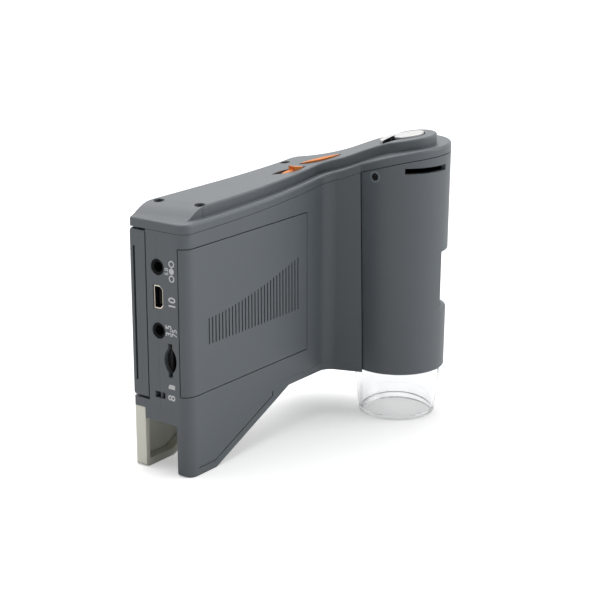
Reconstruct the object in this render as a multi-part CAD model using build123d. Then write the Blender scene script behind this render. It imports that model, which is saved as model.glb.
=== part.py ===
from build123d import *
import os
from math import atan2, cos, degrees, hypot, pi, radians, sin, tan

# Hand-held digital microscope with a swing-out screen. Millimetres, +Z up.
# It is drawn from one corner: x runs from the socket end towards the barrel, y from the battery door
# towards the screen and z up from the table. At the end every piece is moved by the same amount, so
# that the origin lies on the table under the middle of the whole instrument.

os.makedirs("parts", exist_ok=True)

# Driving dimensions -------------------------------------------------------------------------------

# Body
BODY_DEPTH = 23.5          # battery door face to screen face
PARTING_Y = BODY_DEPTH / 2 # joint between the two body shells
BODY_BOTTOM = 17.3         # underside of the body above the table
WALL = 1.8                 # moulded wall
CORNER_R = 4.0             # upright corner beside the battery door
EDGE_R = 1.2               # upright corner beside the screen
FLARE_X = 75.0             # where the door face turns out towards the barrel
FLARE_ANGLE = 71.0         # turn of the flare wall from the door face, degrees
FLARE_R = 5.0              # hollow bend at that turn
REAR_END_X = 99.5          # end wall beside the barrel
REAR_END_SLANT = 6.5       # how much shorter the body is at the screen face
REAR_END_R = 6.0
SHELL_CORNER_R = 1.0       # lower outer corner of each shell
SCREEN_SHELL_X = 90.0      # beyond this the screen-side shell takes the whole end

# Barrel
BARREL_X = 95.8
BARREL_Y = -16.9
BARREL_BOTTOM = 18.2
BARREL_R = 16.55           # at its lower end
BARREL_DRAFT = 0.6         # degrees
BARREL_WALL = 1.8
SHELL_GAP = 0.3            # shadow joint between body shells and barrel

# Top cover: its rim climbs towards the barrel in one long S, and a raised deck follows it
RIM_LOW = 84.5
RIM_HIGH = 98.85
CLIMB_START = 0.8          # distances along the climb, which runs slantwise across the body
CLIMB_END = 94.8
CLIMB_EASE_LOW = 17.4
CLIMB_EASE_HIGH = 25.5
CLIMB_EASE_MIDDLE = 14.0
CLIMB_SLOPE = 0.43
CLIMB_TURN = -60.0         # direction of the climb in plan, degrees from +x
COVER_LIP = 3.1            # rim above the joint with the body
COVER_JOINT = 0.12         # shadow joint under the cover
COVER_SKIN = 1.6
COVER_WAIST_R = 2.0        # hollow bends of the cover where body and barrel meet
DECK_RISE = 3.6
DECK_LEDGE = 3.5           # ledge between rim and deck
DECK_BACK_LEDGE = 0.45     # the same at the screen face
DECK_END_X = 94.8          # the deck's far end, in line with the door face
DECK_END_SLANT = 0.3       # how fast that end runs back towards the screen face
DECK_NOSE_R = 9.5          # round nose over the barrel, about the shutter button
DECK_WAIST_R = 8.0         # hollow bend between that end and the nose
RIM_EDGE_R = 0.9
DECK_EDGE_R = 0.6
DECK_START_NEAR = 5.4      # foot of the deck's sloping front, at the door face
DECK_START_FAR = 1.2       # the same at the screen face
DECK_RAMP = 10.5
RAMP_FOOT = 0.2            # shares of the ramp that shape its S
RAMP_HEAD = 0.45
DECK_WALL = 1.3
SLOPE_STEP = 0.5           # distance over which the deck's slope is measured

# Legs
LEG_THICK = 5.0
FOOT_LENGTH = 13.6
LEG_SLOPE_X = 53.5         # where the leg's slope would meet the underside
LEG_TOP_X = 47.4           # where the legs end and the bottom cover starts
LEG_RIM = 2.6
LEG_RECESS = 3.2
BOTTOM_COVER_HEIGHT = 2.6
SHELL_STEP_Z = 21.0        # lower edge of the screen-side shell
GROOVE_WIDTH = 0.5
GROOVE_DEPTH = 0.35
GROOVE_START = 0.6         # from the rounded corner
GROOVE_TOP = 1.2           # its bend, below the body's underside
GROOVE_TAIL = 1.6
FOOT_TOE_R = 1.5           # rounded lower corner of a foot

# Battery door
DOOR_BOTTOM = 27.7
DOOR_TOP = 76.4
DOOR_EDGE_X = 63.9
DOOR_WRAP_Y = 3.2          # how far the door reaches round the corner
DOOR_THICK = 1.5
DOOR_GAP = 0.28
DOOR_TRAVEL = 5.0
LEDGE_THICK = 1.2
LEDGE_WIDTH = 2.0
HOOK_REACH = 1.4
HOOK_HEIGHT = 3.4
HOOK_THICK = 0.9
HOOK_INSET = 2.5           # middle of a hook from the door's end
HOOK_LENGTH = 3.0          # hook inside the door's edge
GRIP_START_X = 11.0
GRIP_END_X = 58.7
GRIP_COUNT = 29
GRIP_WIDTH = 0.55
GRIP_DEPTH = 0.3
GRIP_BOTTOM = 43.3
GRIP_SHORT = 8.8           # first rib's length
GRIP_LONG = 18.5           # last rib's length
GRIP_SWELL = 1.6           # how late the ribs grow

# Battery
BATTERY_LENGTH = 40.0
BATTERY_HEIGHT = 36.0
BATTERY_X = 19.0
BATTERY_Z = 34.0
BATTERY_PLAY = 0.25
BATTERY_SET = 0.2          # battery behind the door's seat
BATTERY_EDGE_R = 1.2
TRAY_WALL = 1.2
TRAY_FLOOR = 0.9
TRAY_GAP = 0.17            # tray to the board behind it
CONTACT_COUNT = 3
CONTACT_PITCH = 5.0
CONTACT_WIDTH = 2.0
CONTACT_LENGTH = 4.0
CONTACT_X = 23.0
CONTACT_GAP = 0.15

# Circuit board and what is on it
BOARD_Y = BODY_DEPTH - 15.4
BOARD_THICK = 1.6
BOARD_PLAY = 0.4           # board edge to body wall
BOARD_END_X = 72.0
BOARD_BOTTOM = 22.6
BOARD_TOP = 78.0
BOARD_HOLE_R = 1.3
BOARD_HOLE_SET = 4.0
SOCKET_SET_BACK = 0.35     # socket face behind the end wall's outer face
JACK_NOSE_R = 2.6
JACK_BORE_R = 1.8
JACK_LENGTH = 11.0
JACK_WIDTH = 6.4
JACK_HEIGHT = 5.8
JACK_BORE_DEPTH = 9.0
CENTRE_PIN_R = 0.6
CENTRE_PIN_SET = 3.2       # its tip behind the end face
POWER_Z = 69.6
USB_Z = 59.6
AV_Z = 48.5
CARD_Z = 39.2
LANYARD_Z = 26.7
USB_WIDTH = 7.7
USB_HEIGHT = 3.9
USB_LENGTH = 9.0
USB_METAL = 0.35
USB_STEP = 0.3             # stepped corners, as a share of the height
TONGUE_SET = 1.0           # tongue behind the shell's mouth
TONGUE_HALF = 2.4
TONGUE_LOW = 0.5
TONGUE_HIGH = 0.3
CARD_WIDTH = 11.4
CARD_SLOT = 1.2
CARD_MOUTH = 1.7           # width of the slot in the end wall
CARD_PLATE = 1.2           # reader's face plate behind the wall
CARD_PLATE_HALF = 5.95
CARD_PLATE_REACH = 2.75    # its far edge from the slot
CARD_STEP = 0.7            # its step beside the slot
CARD_Y = BOARD_Y - 1.0
CARD_LENGTH = 13.0
CARD_BODY_WIDTH = 13.6
CARD_BODY_HEIGHT = 1.9
SCOOP_LENGTH = 9.6
SCOOP_WIDTH = 5.1
LANYARD_WIDTH = 4.2
LANYARD_HEIGHT = 2.2
LANYARD_DEPTH = 3.0
LANYARD_BAR_R = 0.6
LANYARD_BAR_X = 1.1        # bar's axis behind the end face
LANYARD_BAR_SEAT = 1.2     # bar let into the shells at each end
LANYARD_WALL = 1.2
PORT_GAP = 0.1

# Screen
SCREEN_BOTTOM = 24.5
SCREEN_TOP = 80.85
SCREEN_THICK = 6.7
SCREEN_LENGTH = 74.0
SCREEN_GAP = 0.4           # screen to the bay around it
SCREEN_WALL = 1.4
SCREEN_FACE_R = 0.8        # rounded rim of its outer face
WINDOW_SINK = 0.1          # window below the bezel's face
WINDOW_SEAT = 0.6          # bezel behind the window's edge
BAY_WALL = 1.5
BEZEL_THICK = 2.4
WINDOW_LENGTH = 63.0
WINDOW_HEIGHT = 48.5
WINDOW_THICK = 0.8
MODULE_END_MARGIN = 3.0    # screen's edge to the display module
MODULE_MARGIN = 2.175      # the same above and below it
MODULE_THICK = 2.4
HINGE_X = 79.0
HINGE_R = 3.2
HINGE_BLOCK_HEIGHT = 22.0
HINGE_GAP = 0.25
HINGE_PIN_R = 1.0
HINGE_PIN_PLAY = 0.04
HINGE_PIN_REACH = 8.0
HINGE_ARM_INSET = 0.6      # arm thinner than the column on each side
TONGUE_REACH = 3.5         # hinge block's tongue inside the screen
TONGUE_THICK = 2.6
TONGUE_HEIGHT = 14.0
HINGE_POST_FOOT = 1.5      # how far a post's foot runs past the column's axis
BAY_ROOF = 1.5
PULL_GROOVE_BOTTOM = 30.1
PULL_GROOVE_TOP = 75.2
PULL_GROOVE_WIDTH = 0.9
PULL_GROOVE_DEPTH = 0.8
PULL_GROOVE_SET = 2.0      # groove below the screen's outer face

# Keys in the bay behind the screen
KEY_R = 3.0
KEY_GAP = 0.2
KEY_FLANGE = 0.7
KEY_FLANGE_THICK = 1.0
KEY_PLAY = 0.1             # flange to the bay's wall
KEY_EDGE_R = 0.4
KEY_SINK = 0.2
KEY_TRAVEL = 0.5
KEY_STEM_R = 1.2
KEY_X = 36.0
KEY_Z = 52.0
KEY_PITCH = 11.0
SWITCH_SIZE = 4.6
SWITCH_BODY = 1.6
SWITCH_PLUNGER_R = 1.0
SWITCH_PLUNGER = 0.7
PRESS_GAP = 0.12           # left between stem and plunger when a key is fully pressed

# Controls on the deck
CONTROL_LENGTH = 14.0
CONTROL_WIDTH = 5.4
CONTROL_GAP = 0.25
SLIDER_X = 66.5
SLIDER_Y = 9.6
SLIDER_TURN = -21.3
SLIDER_TRAVEL = 3.0
SLIDER_REST = 1.1          # its middle from the opening's middle
SLIDER_LENGTH = 9.2
SLIDER_WIDTH = 3.6
SLIDER_RISE = 0.2          # thumb pad above the deck
SLIDER_WEDGE_RISE = 1.4
SLIDER_WEDGE = 4.6         # length of the raised wedge
CROWN_DEPTH = 2.0          # depth of the egg that domes slider and rocker
SLIDER_SPREAD = 0.6        # its half length and width, as shares of the control's
ROCKER_SPREAD = 0.9
SLIDER_PLATE = 1.0
SLIDER_PLATE_LENGTH = 6.0
SLIDER_PLATE_WIDTH = 6.2
PLATE_GAP = 0.5            # slider plate below the cover's skin
ROCKER_X = 80.8
ROCKER_Y = 6.65
ROCKER_TURN = -52.1
ROCKER_LENGTH = 15.5       # of its opening
ROCKER_WIDTH = 3.9
ROCKER_TILT = 3.0          # degrees each way
ROCKER_RISE = 0.75
ROCKER_END_GAP = 0.55
ROCKER_DEPTH = 4.2         # rocker's body below the deck
ROCKER_PIVOT = 3.0         # its trunnions below the deck
TRUNNION_R = 0.7
TRUNNION_REACH = 4.2       # from the rocker's middle
TRUNNION_PLAY = 0.05
LUG_WIDTH = 3.0
LUG_THICK = 1.2
ROCKER_LEG = 4.4           # its two legs from its middle
ROCKER_LEG_R = 0.9
SHUTTER_X = 94.6
SHUTTER_Y = -21.0
SHUTTER_R = 5.1
SHUTTER_RISE = 0.5
SHUTTER_GAP = 0.4          # dark gap round the button
SHUTTER_TRAVEL = 0.8
SHUTTER_FLANGE_R = 6.1
SHUTTER_FLANGE = 0.9
SHUTTER_STEM_R = 1.5
SHUTTER_STEM = 1.0
FLANGE_GAP = 0.5           # flange below the cover's skin
CRESCENT_TAIL_R = 10.4       # from the button's middle to the pointed tail
CRESCENT_TAIL_TURN = 150.0
CRESCENT_HEAD_R = 6.1
CRESCENT_HEAD_TURN = 55.0
CRESCENT_OUTER_R = 9.3
CRESCENT_OUTER_TURN = 110.0
CRESCENT_INNER_R = 6.9
CRESCENT_INNER_TURN = 125.0
CRESCENT_WEDGE_TURN = 180.0  # where its dark wedge meets the button
CRESCENT_RISE = 0.3
CRESCENT_SINK = 1.0        # its recess below the deck
CRESCENT_PIT = 1.3         # the deeper wedge between crescent and button
CRESCENT_GAP = 0.12
CONTROL_BOARD_TOP = 82.5
CONTROL_BOARD_X = 59.0
CONTROL_BOARD_LENGTH = 29.0
CONTROL_BOARD_Y = 3.8
CONTROL_BOARD_BACK = 1.15
BOARD_SKIN = 1.2           # thickness of each small board
BOARD_CORNER_R = 1.0
POST_R = 1.6
POWER_SWITCH_LENGTH = 8.0
POWER_SWITCH_WIDTH = 3.6
POWER_SWITCH_HEIGHT = 2.4
LEVER_LENGTH = 1.4
LEVER_WIDTH = 1.2
LEVER_RISE = 1.3
LEVER_ROOT = 0.9           # lever inside the switch
LEVER_GAP = 0.1
LEVER_DROP = 0.5           # room for the lever to follow the sloping deck
FORK_LENGTH = 4.0
SHUTTER_BOARD_LENGTH = 16.0
SHUTTER_BOARD_WIDTH = 10.0
SHUTTER_BOARD_TURN = 70.0  # side of the button that the board reaches to
SHUTTER_POST = 7.7         # board's posts from the button's middle
SHUTTER_POST_R = 1.2
SHUTTER_POST_SPREAD = 50.0

# Optics, on the barrel's axis
TIP_FOOT_R = 13.2
TIP_TOP_R = 15.0
TIP_BULGE_R = 14.7
TIP_BULGE_HEIGHT = 0.667   # share of its height at which that radius lies
TIP_BORE_R = 10.8
TIP_WALL = 1.8
TIP_LIP = 1.6
TIP_LIP_SLOPE = 1.0
TIP_SPIGOT = 3.8
TIP_PLAY = 0.1
LED_COUNT = 8
LED_CIRCLE_R = 11.1
LED_R = 1.3
LED_LENGTH = 2.6
LED_BOARD_THICK = 1.2
CHASSIS_R = 11.4
CHASSIS_BORE_R = 10.1
CHASSIS_BASE = 1.5
CHASSIS_TOP = 75.0
CARRIAGE_PLAY = 0.08
CARRIAGE_BORE_R = 8.2
CARRIAGE_LENGTH = 21.0
FOCUS_MIDDLE = 50.0
FOCUS_TRAVEL = 3.0         # each way
FOCUS_TURN = 150.0         # each way, degrees
WHEEL_R = 14.2
WHEEL_PLAY = 0.08
WHEEL_HEIGHT = 18.0
WHEEL_RIBS = 40
WHEEL_RIB_R = 0.5
CLIP_WIDTH = 1.8
CLIP_THICK = 1.2
CLIP_GAP = 0.1
CLIP_MOUTH = 3.0
FOLLOWER_R = 1.0
FOLLOWER_PLAY = 0.06
FOLLOWER_REACH = 0.9       # follower beyond the chassis tube
CAM_DEPTH = 1.2            # groove beyond the chassis tube
LENS_EDGE = 1.4
LENS_CROWN = 1.3
LENS_SET = 2.0             # lens from the carriage's end
SENSOR_BOARD = 20.0
SENSOR_SIZE = 7.0
SENSOR_THICK = 1.2

# Openings in the barrel
WINDOW_LOW = 40.0
WINDOW_HIGH = 60.0
WINDOW_FLARE = 1.6
WINDOW_START = -87.0       # degrees round the barrel from +x
WINDOW_SWEEP = 120.0
VENT_Z = 90.0
VENT_HEIGHT = 2.0
VENT_START = -142.0
VENT_SWEEP = 57.5
BARREL_SCREW_TURN = -177.0
BARREL_SCREW_Z = 88.6
TAB_WIDTH = 5.0            # cover's tab behind the barrel screw
TAB_THICK = 2.4
TAB_BELOW = 4.0            # tab below that screw's axis

# Screws
SCREW_HEAD_R = 1.2
SCREW_HEAD = 1.1
SCREW_SHANK_R = 0.7
SCREW_LENGTH = 3.6
SCREW_HOLE_GAP = 0.1
SCREW_SINK = 1.5           # head below the deck
BARREL_SCREW_SINK = 1.0    # head below the barrel's outside
BARREL_BOSS = 1.2          # boss under that head, inside the barrel
BARREL_BOSS_R = 2.4
SCREW_SEAT = 1.2           # cover under a head
SCREW_SLEEVE_R = 2.3
BACK_BOSS_R = 1.6
CORNER_SCREW_X = 13.9      # beside the door
CORNER_SCREW_Y = 5.4
BACK_SCREW_Y = 20.0        # over the screen
BACK_SCREW_NEAR_X = 11.0
BACK_SCREW_FAR_X = 78.2
BOSS_FOOT_Z = 78.6         # foot of the corner screw's boss

# Worked out from the above ------------------------------------------------------------------------

SIDE_BOARD_Y = BOARD_Y + BOARD_THICK
BATTERY_THICK = BOARD_Y - DOOR_THICK - DOOR_GAP - BATTERY_SET - BATTERY_PLAY - TRAY_FLOOR - TRAY_GAP
MODULE_LENGTH = SCREEN_LENGTH - 2 * MODULE_END_MARGIN
MODULE_HEIGHT = SCREEN_TOP - SCREEN_BOTTOM - 2 * MODULE_MARGIN
CONTROL_BOARD_WIDTH = PARTING_Y - CONTROL_BOARD_BACK
BAY_FLOOR_Y = BODY_DEPTH - SCREEN_THICK - SCREEN_GAP
HINGE_Y = BODY_DEPTH - SCREEN_THICK / 2
FAR = 200.0                # longer than anything here, for cutting tools


# Small helpers ------------------------------------------------------------------------------------

def block(x0, x1, y0, y1, z0, z1):
    """A box between two corners."""
    return Pos((x0 + x1) / 2, (y0 + y1) / 2, (z0 + z1) / 2) * Box(x1 - x0, y1 - y0, z1 - z0)


def rod(x, y, z, radius, length, along="z"):
    """A cylinder that starts at a point and runs along one axis."""
    turn = {"x": Rotation(0, 90, 0), "y": Rotation(-90, 0, 0), "z": Rotation(0, 0, 0)}[along]
    return Pos(x, y, z) * turn * Cylinder(radius, length, align=(Align.CENTER, Align.CENTER, Align.MIN))


def tube(x, y, z, outer, inner, length):
    """An upright pipe."""
    return rod(x, y, z, outer, length) - rod(x, y, z - 1, inner, length + 2)


def prism(plan, z0, z1):
    """A plan outline raised between two heights."""
    return extrude(Plane.XY.offset(z0) * plan, z1 - z0)


def side_prism(outline, y0, y1):
    """An outline drawn in x and z, between two depths."""
    return extrude(Plane.XZ.offset(-y1) * outline, y1 - y0)


def end_prism(outline, x0, x1):
    """An outline drawn in y and z, between two lengths."""
    return extrude(Plane.YZ.offset(x0) * outline, x1 - x0)


def barrel_radius(z):
    return BARREL_R + (z - BARREL_BOTTOM) * tan(radians(BARREL_DRAFT))


def barrel_cone(z0, z1, grow=0.0):
    """The barrel's outside between two heights, grown or shrunk a little."""
    shape = Cone(barrel_radius(z0) + grow, barrel_radius(z1) + grow, z1 - z0,
                 align=(Align.CENTER, Align.CENTER, Align.MIN))
    return Pos(BARREL_X, BARREL_Y, z0) * shape


def on_axis(part):
    return Pos(BARREL_X, BARREL_Y, 0) * part


def turned(profile, sweep=360.0, start=0.0):
    """A profile drawn in radius and height, turned about the barrel's axis."""
    return on_axis(Rotation(0, 0, start) * revolve(Plane.XZ * profile, Axis.Z, sweep))


# The body's outline and the climbing rim ----------------------------------------------------------

def corner(plan, x, y):
    """The vertex of a plan nearest a point."""
    return min(plan.vertices(), key=lambda v: hypot(v.X - x, v.Y - y))


def flare_point(y, inset=0.0):
    """A point of the flare wall's line, moved into the body by the inset."""
    turn = radians(FLARE_ANGLE)
    return FLARE_X + inset / sin(turn) - y / tan(turn), y


def body_plan():
    """The two shells in plan, with the flare wall ending inside the barrel."""
    outline = Polyline((0, 0), (FLARE_X, 0), flare_point(BARREL_Y), (REAR_END_X, BARREL_Y),
                       (REAR_END_X, 0), (REAR_END_X - REAR_END_SLANT, BODY_DEPTH), (0, BODY_DEPTH),
                       close=True)
    plan = make_face(outline)
    plan = fillet(corner(plan, 0, 0), CORNER_R)
    plan = fillet(corner(plan, FLARE_X, 0), FLARE_R)
    plan = fillet(corner(plan, REAR_END_X - REAR_END_SLANT, BODY_DEPTH), REAR_END_R)
    return fillet(corner(plan, 0, BODY_DEPTH), EDGE_R)


def cover_plan():
    """The body and the barrel together, as the top cover spans them."""
    radius = barrel_radius(RIM_HIGH - COVER_LIP)
    plan = body_plan() + Pos(BARREL_X, BARREL_Y) * Circle(radius)
    plan = fillet(corner(plan, *flare_point(BARREL_Y + radius * cos(radians(FLARE_ANGLE)))), COVER_WAIST_R)
    return fillet(corner(plan, REAR_END_X, BARREL_Y + radius), COVER_WAIST_R)


def deck_end(y, inset=0.0):
    """A point of the deck's slanting far end, moved into the deck by the inset."""
    return DECK_END_X - y * DECK_END_SLANT - inset * hypot(1, DECK_END_SLANT), y


def deck_plan(inset=0.0):
    """The raised deck's outline, inside the cover's rim by its ledges."""
    near_y = DECK_LEDGE + inset
    far_y = BODY_DEPTH - DECK_BACK_LEDGE - inset
    outline = Polyline((0, near_y), flare_point(near_y, near_y), flare_point(SHUTTER_Y, near_y),
                       deck_end(SHUTTER_Y, inset), deck_end(far_y, inset), (0, far_y), close=True)
    plan = make_face(outline) + Pos(SHUTTER_X, SHUTTER_Y) * Circle(DECK_NOSE_R - inset)
    plan = fillet(corner(plan, *deck_end(far_y, inset)), REAR_END_R / 2)
    plan = fillet(corner(plan, *deck_end(SHUTTER_Y + DECK_NOSE_R, inset)), DECK_WAIST_R)
    return fillet(corner(plan, *flare_point(near_y, near_y)), FLARE_R)


def rim_line():
    """The S-shaped climb, drawn with distance along the climb and height."""
    middle = ((CLIMB_START + CLIMB_END) / 2, (RIM_LOW + RIM_HIGH) / 2)
    step = CLIMB_EASE_MIDDLE
    lower = Bezier((CLIMB_START, RIM_LOW), (CLIMB_START + CLIMB_EASE_LOW, RIM_LOW),
                   (middle[0] - step, middle[1] - step * CLIMB_SLOPE), middle)
    upper = Bezier(middle, (middle[0] + step, middle[1] + step * CLIMB_SLOPE),
                   (CLIMB_END - CLIMB_EASE_HIGH, RIM_HIGH), (CLIMB_END, RIM_HIGH))
    return lower, upper


def below_rim(rise):
    """All that lies below the rim line lifted by some height."""
    lower, upper = rim_line()
    frame = Polyline((CLIMB_END, RIM_HIGH), (FAR, RIM_HIGH), (FAR, -FAR), (-FAR, -FAR),
                     (-FAR, RIM_LOW), (CLIMB_START, RIM_LOW))
    profile = Pos(0, rise) * make_face(Wire([*lower.edges(), *upper.edges(), *frame.edges()]))
    turn = radians(CLIMB_TURN)
    plane = Plane(origin=(0, 0, 0), x_dir=(cos(turn), sin(turn), 0), z_dir=(sin(turn), -cos(turn), 0))
    return extrude(plane * profile, FAR, both=True)


def rim_height(x, y):
    """The rim line's height over a point of the plan."""
    turn = radians(CLIMB_TURN)
    along = x * cos(turn) + y * sin(turn)
    lower, upper = rim_line()
    if along <= CLIMB_START:
        return RIM_LOW
    if along >= CLIMB_END:
        return RIM_HIGH
    curve = lower if along <= (CLIMB_START + CLIMB_END) / 2 else upper
    low, high = 0.0, 1.0
    for _ in range(40):
        middle = (low + high) / 2
        if (curve @ middle).X < along:
            low = middle
        else:
            high = middle
    return (curve @ low).Y


def deck_height(x, y):
    return rim_height(x, y) + DECK_RISE


def deck_plane(x, y, turn=0.0):
    """Plane that touches the deck at a point, its x axis turned to a direction in plan."""
    step = SLOPE_STEP
    heading = Vector(cos(radians(turn)), sin(radians(turn)), 0)
    climb = Vector(cos(radians(CLIMB_TURN)), sin(radians(CLIMB_TURN)), 0)
    ahead, behind = climb * step, climb * -step
    slope = (rim_height(x + ahead.X, y + ahead.Y) - rim_height(x + behind.X, y + behind.Y)) / (2 * step)
    up = Vector(-slope * climb.X, -slope * climb.Y, 1).normalized()
    return Plane(origin=(x, y, deck_height(x, y)), x_dir=heading - up * heading.dot(up), z_dir=up)


def body_block(inset, z0, top):
    """The body's outline, moved in by a wall, from a height up to a level under the rim."""
    plan = offset(body_plan(), -inset, kind=Kind.INTERSECTION) if inset else body_plan()
    return prism(plan, z0, RIM_HIGH + DECK_RISE) & below_rim(top)


# Body shells, legs and bottom cover ---------------------------------------------------------------

def leg_outline():
    """A leg seen from the side: upright end, flat foot and long slope."""
    slope = BODY_BOTTOM / (LEG_SLOPE_X - FOOT_LENGTH)
    leg = make_face(Polyline((0, 0), (FOOT_LENGTH, 0), (LEG_TOP_X, (LEG_TOP_X - FOOT_LENGTH) * slope),
                             (LEG_TOP_X, SHELL_STEP_Z), (0, SHELL_STEP_Z), close=True))
    leg = fillet(corner(leg, 0, 0), FOOT_TOE_R)
    return fillet(corner(leg, FOOT_LENGTH, 0), FOOT_TOE_R)


def leg_hollow():
    """The hollow in a leg's inner face, inside its rim."""
    slope = BODY_BOTTOM / (LEG_SLOPE_X - FOOT_LENGTH)
    shift = LEG_RIM * hypot(1, slope)
    foot = LEG_RIM
    knee_x = FOOT_LENGTH + (foot - shift) / slope
    top_x = FOOT_LENGTH + (BODY_BOTTOM - shift) / slope
    return make_face(Polyline((WALL, foot), (knee_x, foot), (top_x, BODY_BOTTOM), (WALL, BODY_BOTTOM),
                              close=True))


def port_cuts():
    """The holes of the end wall that the two shells share, and the card slot with its scoop."""
    reach = SOCKET_SET_BACK + WALL + 1
    cuts = rod(-1, PARTING_Y, POWER_Z, JACK_NOSE_R + PORT_GAP, 1 + reach, "x")
    cuts += rod(-1, PARTING_Y, AV_Z, JACK_NOSE_R + PORT_GAP, 1 + reach, "x")
    cuts += end_prism(offset(Pos(PARTING_Y, USB_Z) * usb_outline(), PORT_GAP), -1, reach)
    card = CARD_WIDTH / 2
    cuts += block(-1, reach, CARD_Y - CARD_MOUTH / 2, CARD_Y + CARD_MOUTH / 2, CARD_Z - card, CARD_Z + card)
    scoop_r = (SCOOP_LENGTH ** 2 + SCOOP_WIDTH ** 2) / (4 * SCOOP_WIDTH)
    lens = (Pos(scoop_r - SCOOP_WIDTH / 2, 0) * Circle(scoop_r)) & \
        (Pos(SCOOP_WIDTH / 2 - scoop_r, 0) * Circle(scoop_r))
    cuts += end_prism(Pos(CARD_Y, CARD_Z) * lens, -1, reach)
    return cuts + lanyard_pocket(0) + lanyard_bar()


def lanyard_pocket(wall):
    """The strap recess, or with a wall the box that holds it."""
    half, tall = LANYARD_WIDTH / 2 + wall, LANYARD_HEIGHT / 2 + wall
    return block(SHELL_CORNER_R if wall else -1, LANYARD_DEPTH + wall, PARTING_Y - half, PARTING_Y + half,
                 LANYARD_Z - tall, LANYARD_Z + tall)


def body_shells():
    """The hollow body in one piece, before it is parted."""
    shell = body_block(0, BODY_BOTTOM, -COVER_LIP - COVER_JOINT) - body_block(WALL, BODY_BOTTOM + WALL, 0)
    shell -= block(LEG_TOP_X, FAR, -FAR, FAR, 0, BODY_BOTTOM + BOTTOM_COVER_HEIGHT)
    shell += lanyard_pocket(LANYARD_WALL)
    return shell - barrel_cone(0, 2 * RIM_HIGH, SHELL_GAP)


def door_region(grow):
    """The band of the body's skin that the battery door takes up."""
    skin = body_plan() - offset(body_plan(), -DOOR_THICK - grow, kind=Kind.INTERSECTION)
    skin = skin & (Pos(DOOR_EDGE_X + grow, DOOR_WRAP_Y + grow) * Rectangle(FAR, FAR, align=Align.MAX))
    return prism(skin, DOOR_BOTTOM - grow, DOOR_TOP + grow)


def battery_tray(grow):
    """The battery's space, or with a wall the tray round it."""
    y0 = DOOR_THICK + DOOR_GAP
    depth = BATTERY_SET + BATTERY_THICK + BATTERY_PLAY
    side = BATTERY_PLAY + grow
    return block(BATTERY_X - side, BATTERY_X + BATTERY_LENGTH + side, y0, y0 + depth + (TRAY_FLOOR if grow else 0),
                 BATTERY_Z - side, BATTERY_Z + BATTERY_HEIGHT + side)


def rear_shell():
    """Door-side shell, with its leg, the door's seat and the battery tray."""
    leg = side_prism(leg_outline(), 0, LEG_THICK) & prism(body_plan(), 0, SHELL_STEP_Z)
    leg -= side_prism(leg_hollow(), LEG_THICK - LEG_RECESS, LEG_THICK)
    floor = block(0, LEG_TOP_X, 0, BODY_DEPTH - LEG_THICK, BODY_BOTTOM, SHELL_STEP_Z)
    floor = floor & prism(body_plan(), 0, SHELL_STEP_Z)
    shell = body_shells() - block(-1, FAR, PARTING_Y, FAR, 0, FAR) - block(SCREEN_SHELL_X, FAR, -FAR, FAR, 0, FAR)
    shell += leg + floor
    seat_depth = DOOR_THICK + DOOR_GAP
    inner = offset(body_plan(), -seat_depth, kind=Kind.INTERSECTION)
    ledge = inner - offset(body_plan(), -seat_depth - LEDGE_THICK, kind=Kind.INTERSECTION)
    ledge = ledge & (Pos(DOOR_EDGE_X + LEDGE_WIDTH + HOOK_REACH - FAR / 2, DOOR_WRAP_Y + LEDGE_WIDTH - FAR / 2) *
                     Rectangle(FAR, FAR))
    shell += prism(ledge, DOOR_BOTTOM - LEDGE_WIDTH, DOOR_TOP + LEDGE_WIDTH)
    shell += battery_tray(TRAY_WALL)
    boss_top = screw_seat(CORNER_SCREW_X, CORNER_SCREW_Y) - SCREW_SEAT
    shell += rod(CORNER_SCREW_X, CORNER_SCREW_Y, BOSS_FOOT_Z, SCREW_SLEEVE_R, boss_top - BOSS_FOOT_Z)
    shell += block(CORNER_SCREW_X - SCREW_SHANK_R, CORNER_SCREW_X + SCREW_SHANK_R, WALL / 2, CORNER_SCREW_Y,
                   BOSS_FOOT_Z, RIM_LOW - COVER_LIP)
    shell -= battery_tray(0)
    shell -= door_region(DOOR_GAP)
    shell -= door_hooks(DOOR_GAP, DOOR_TRAVEL)
    for z in contact_places():
        shell -= contact(z, CONTACT_GAP)
    shell -= port_cuts() + cover_screws()
    return shell - leg_groove()


def leg_groove():
    """The thin line pressed into the leg's outer face, along its foot and slope."""
    slope = BODY_BOTTOM / (LEG_SLOPE_X - FOOT_LENGTH)
    shift = LEG_RIM * hypot(1, slope)
    knee = (FOOT_LENGTH + (LEG_RIM - shift) / slope, LEG_RIM)
    rise = BODY_BOTTOM - GROOVE_TOP
    end = (FOOT_LENGTH + (rise - shift) / slope, rise)
    line = Polyline((CORNER_R + GROOVE_START, LEG_RIM), knee, end, (end[0], end[1] + GROOVE_TAIL))
    return side_prism(trace(line, GROOVE_WIDTH), -1, GROOVE_DEPTH)


def screen_bay(grow=0.0):
    """The space that the closed screen and its hinge lie in."""
    return block(-1, HINGE_X + HINGE_R + 2 * SCREEN_GAP + grow, BAY_FLOOR_Y - grow, FAR,
                 SCREEN_BOTTOM - SCREEN_GAP - grow, FAR)


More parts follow.
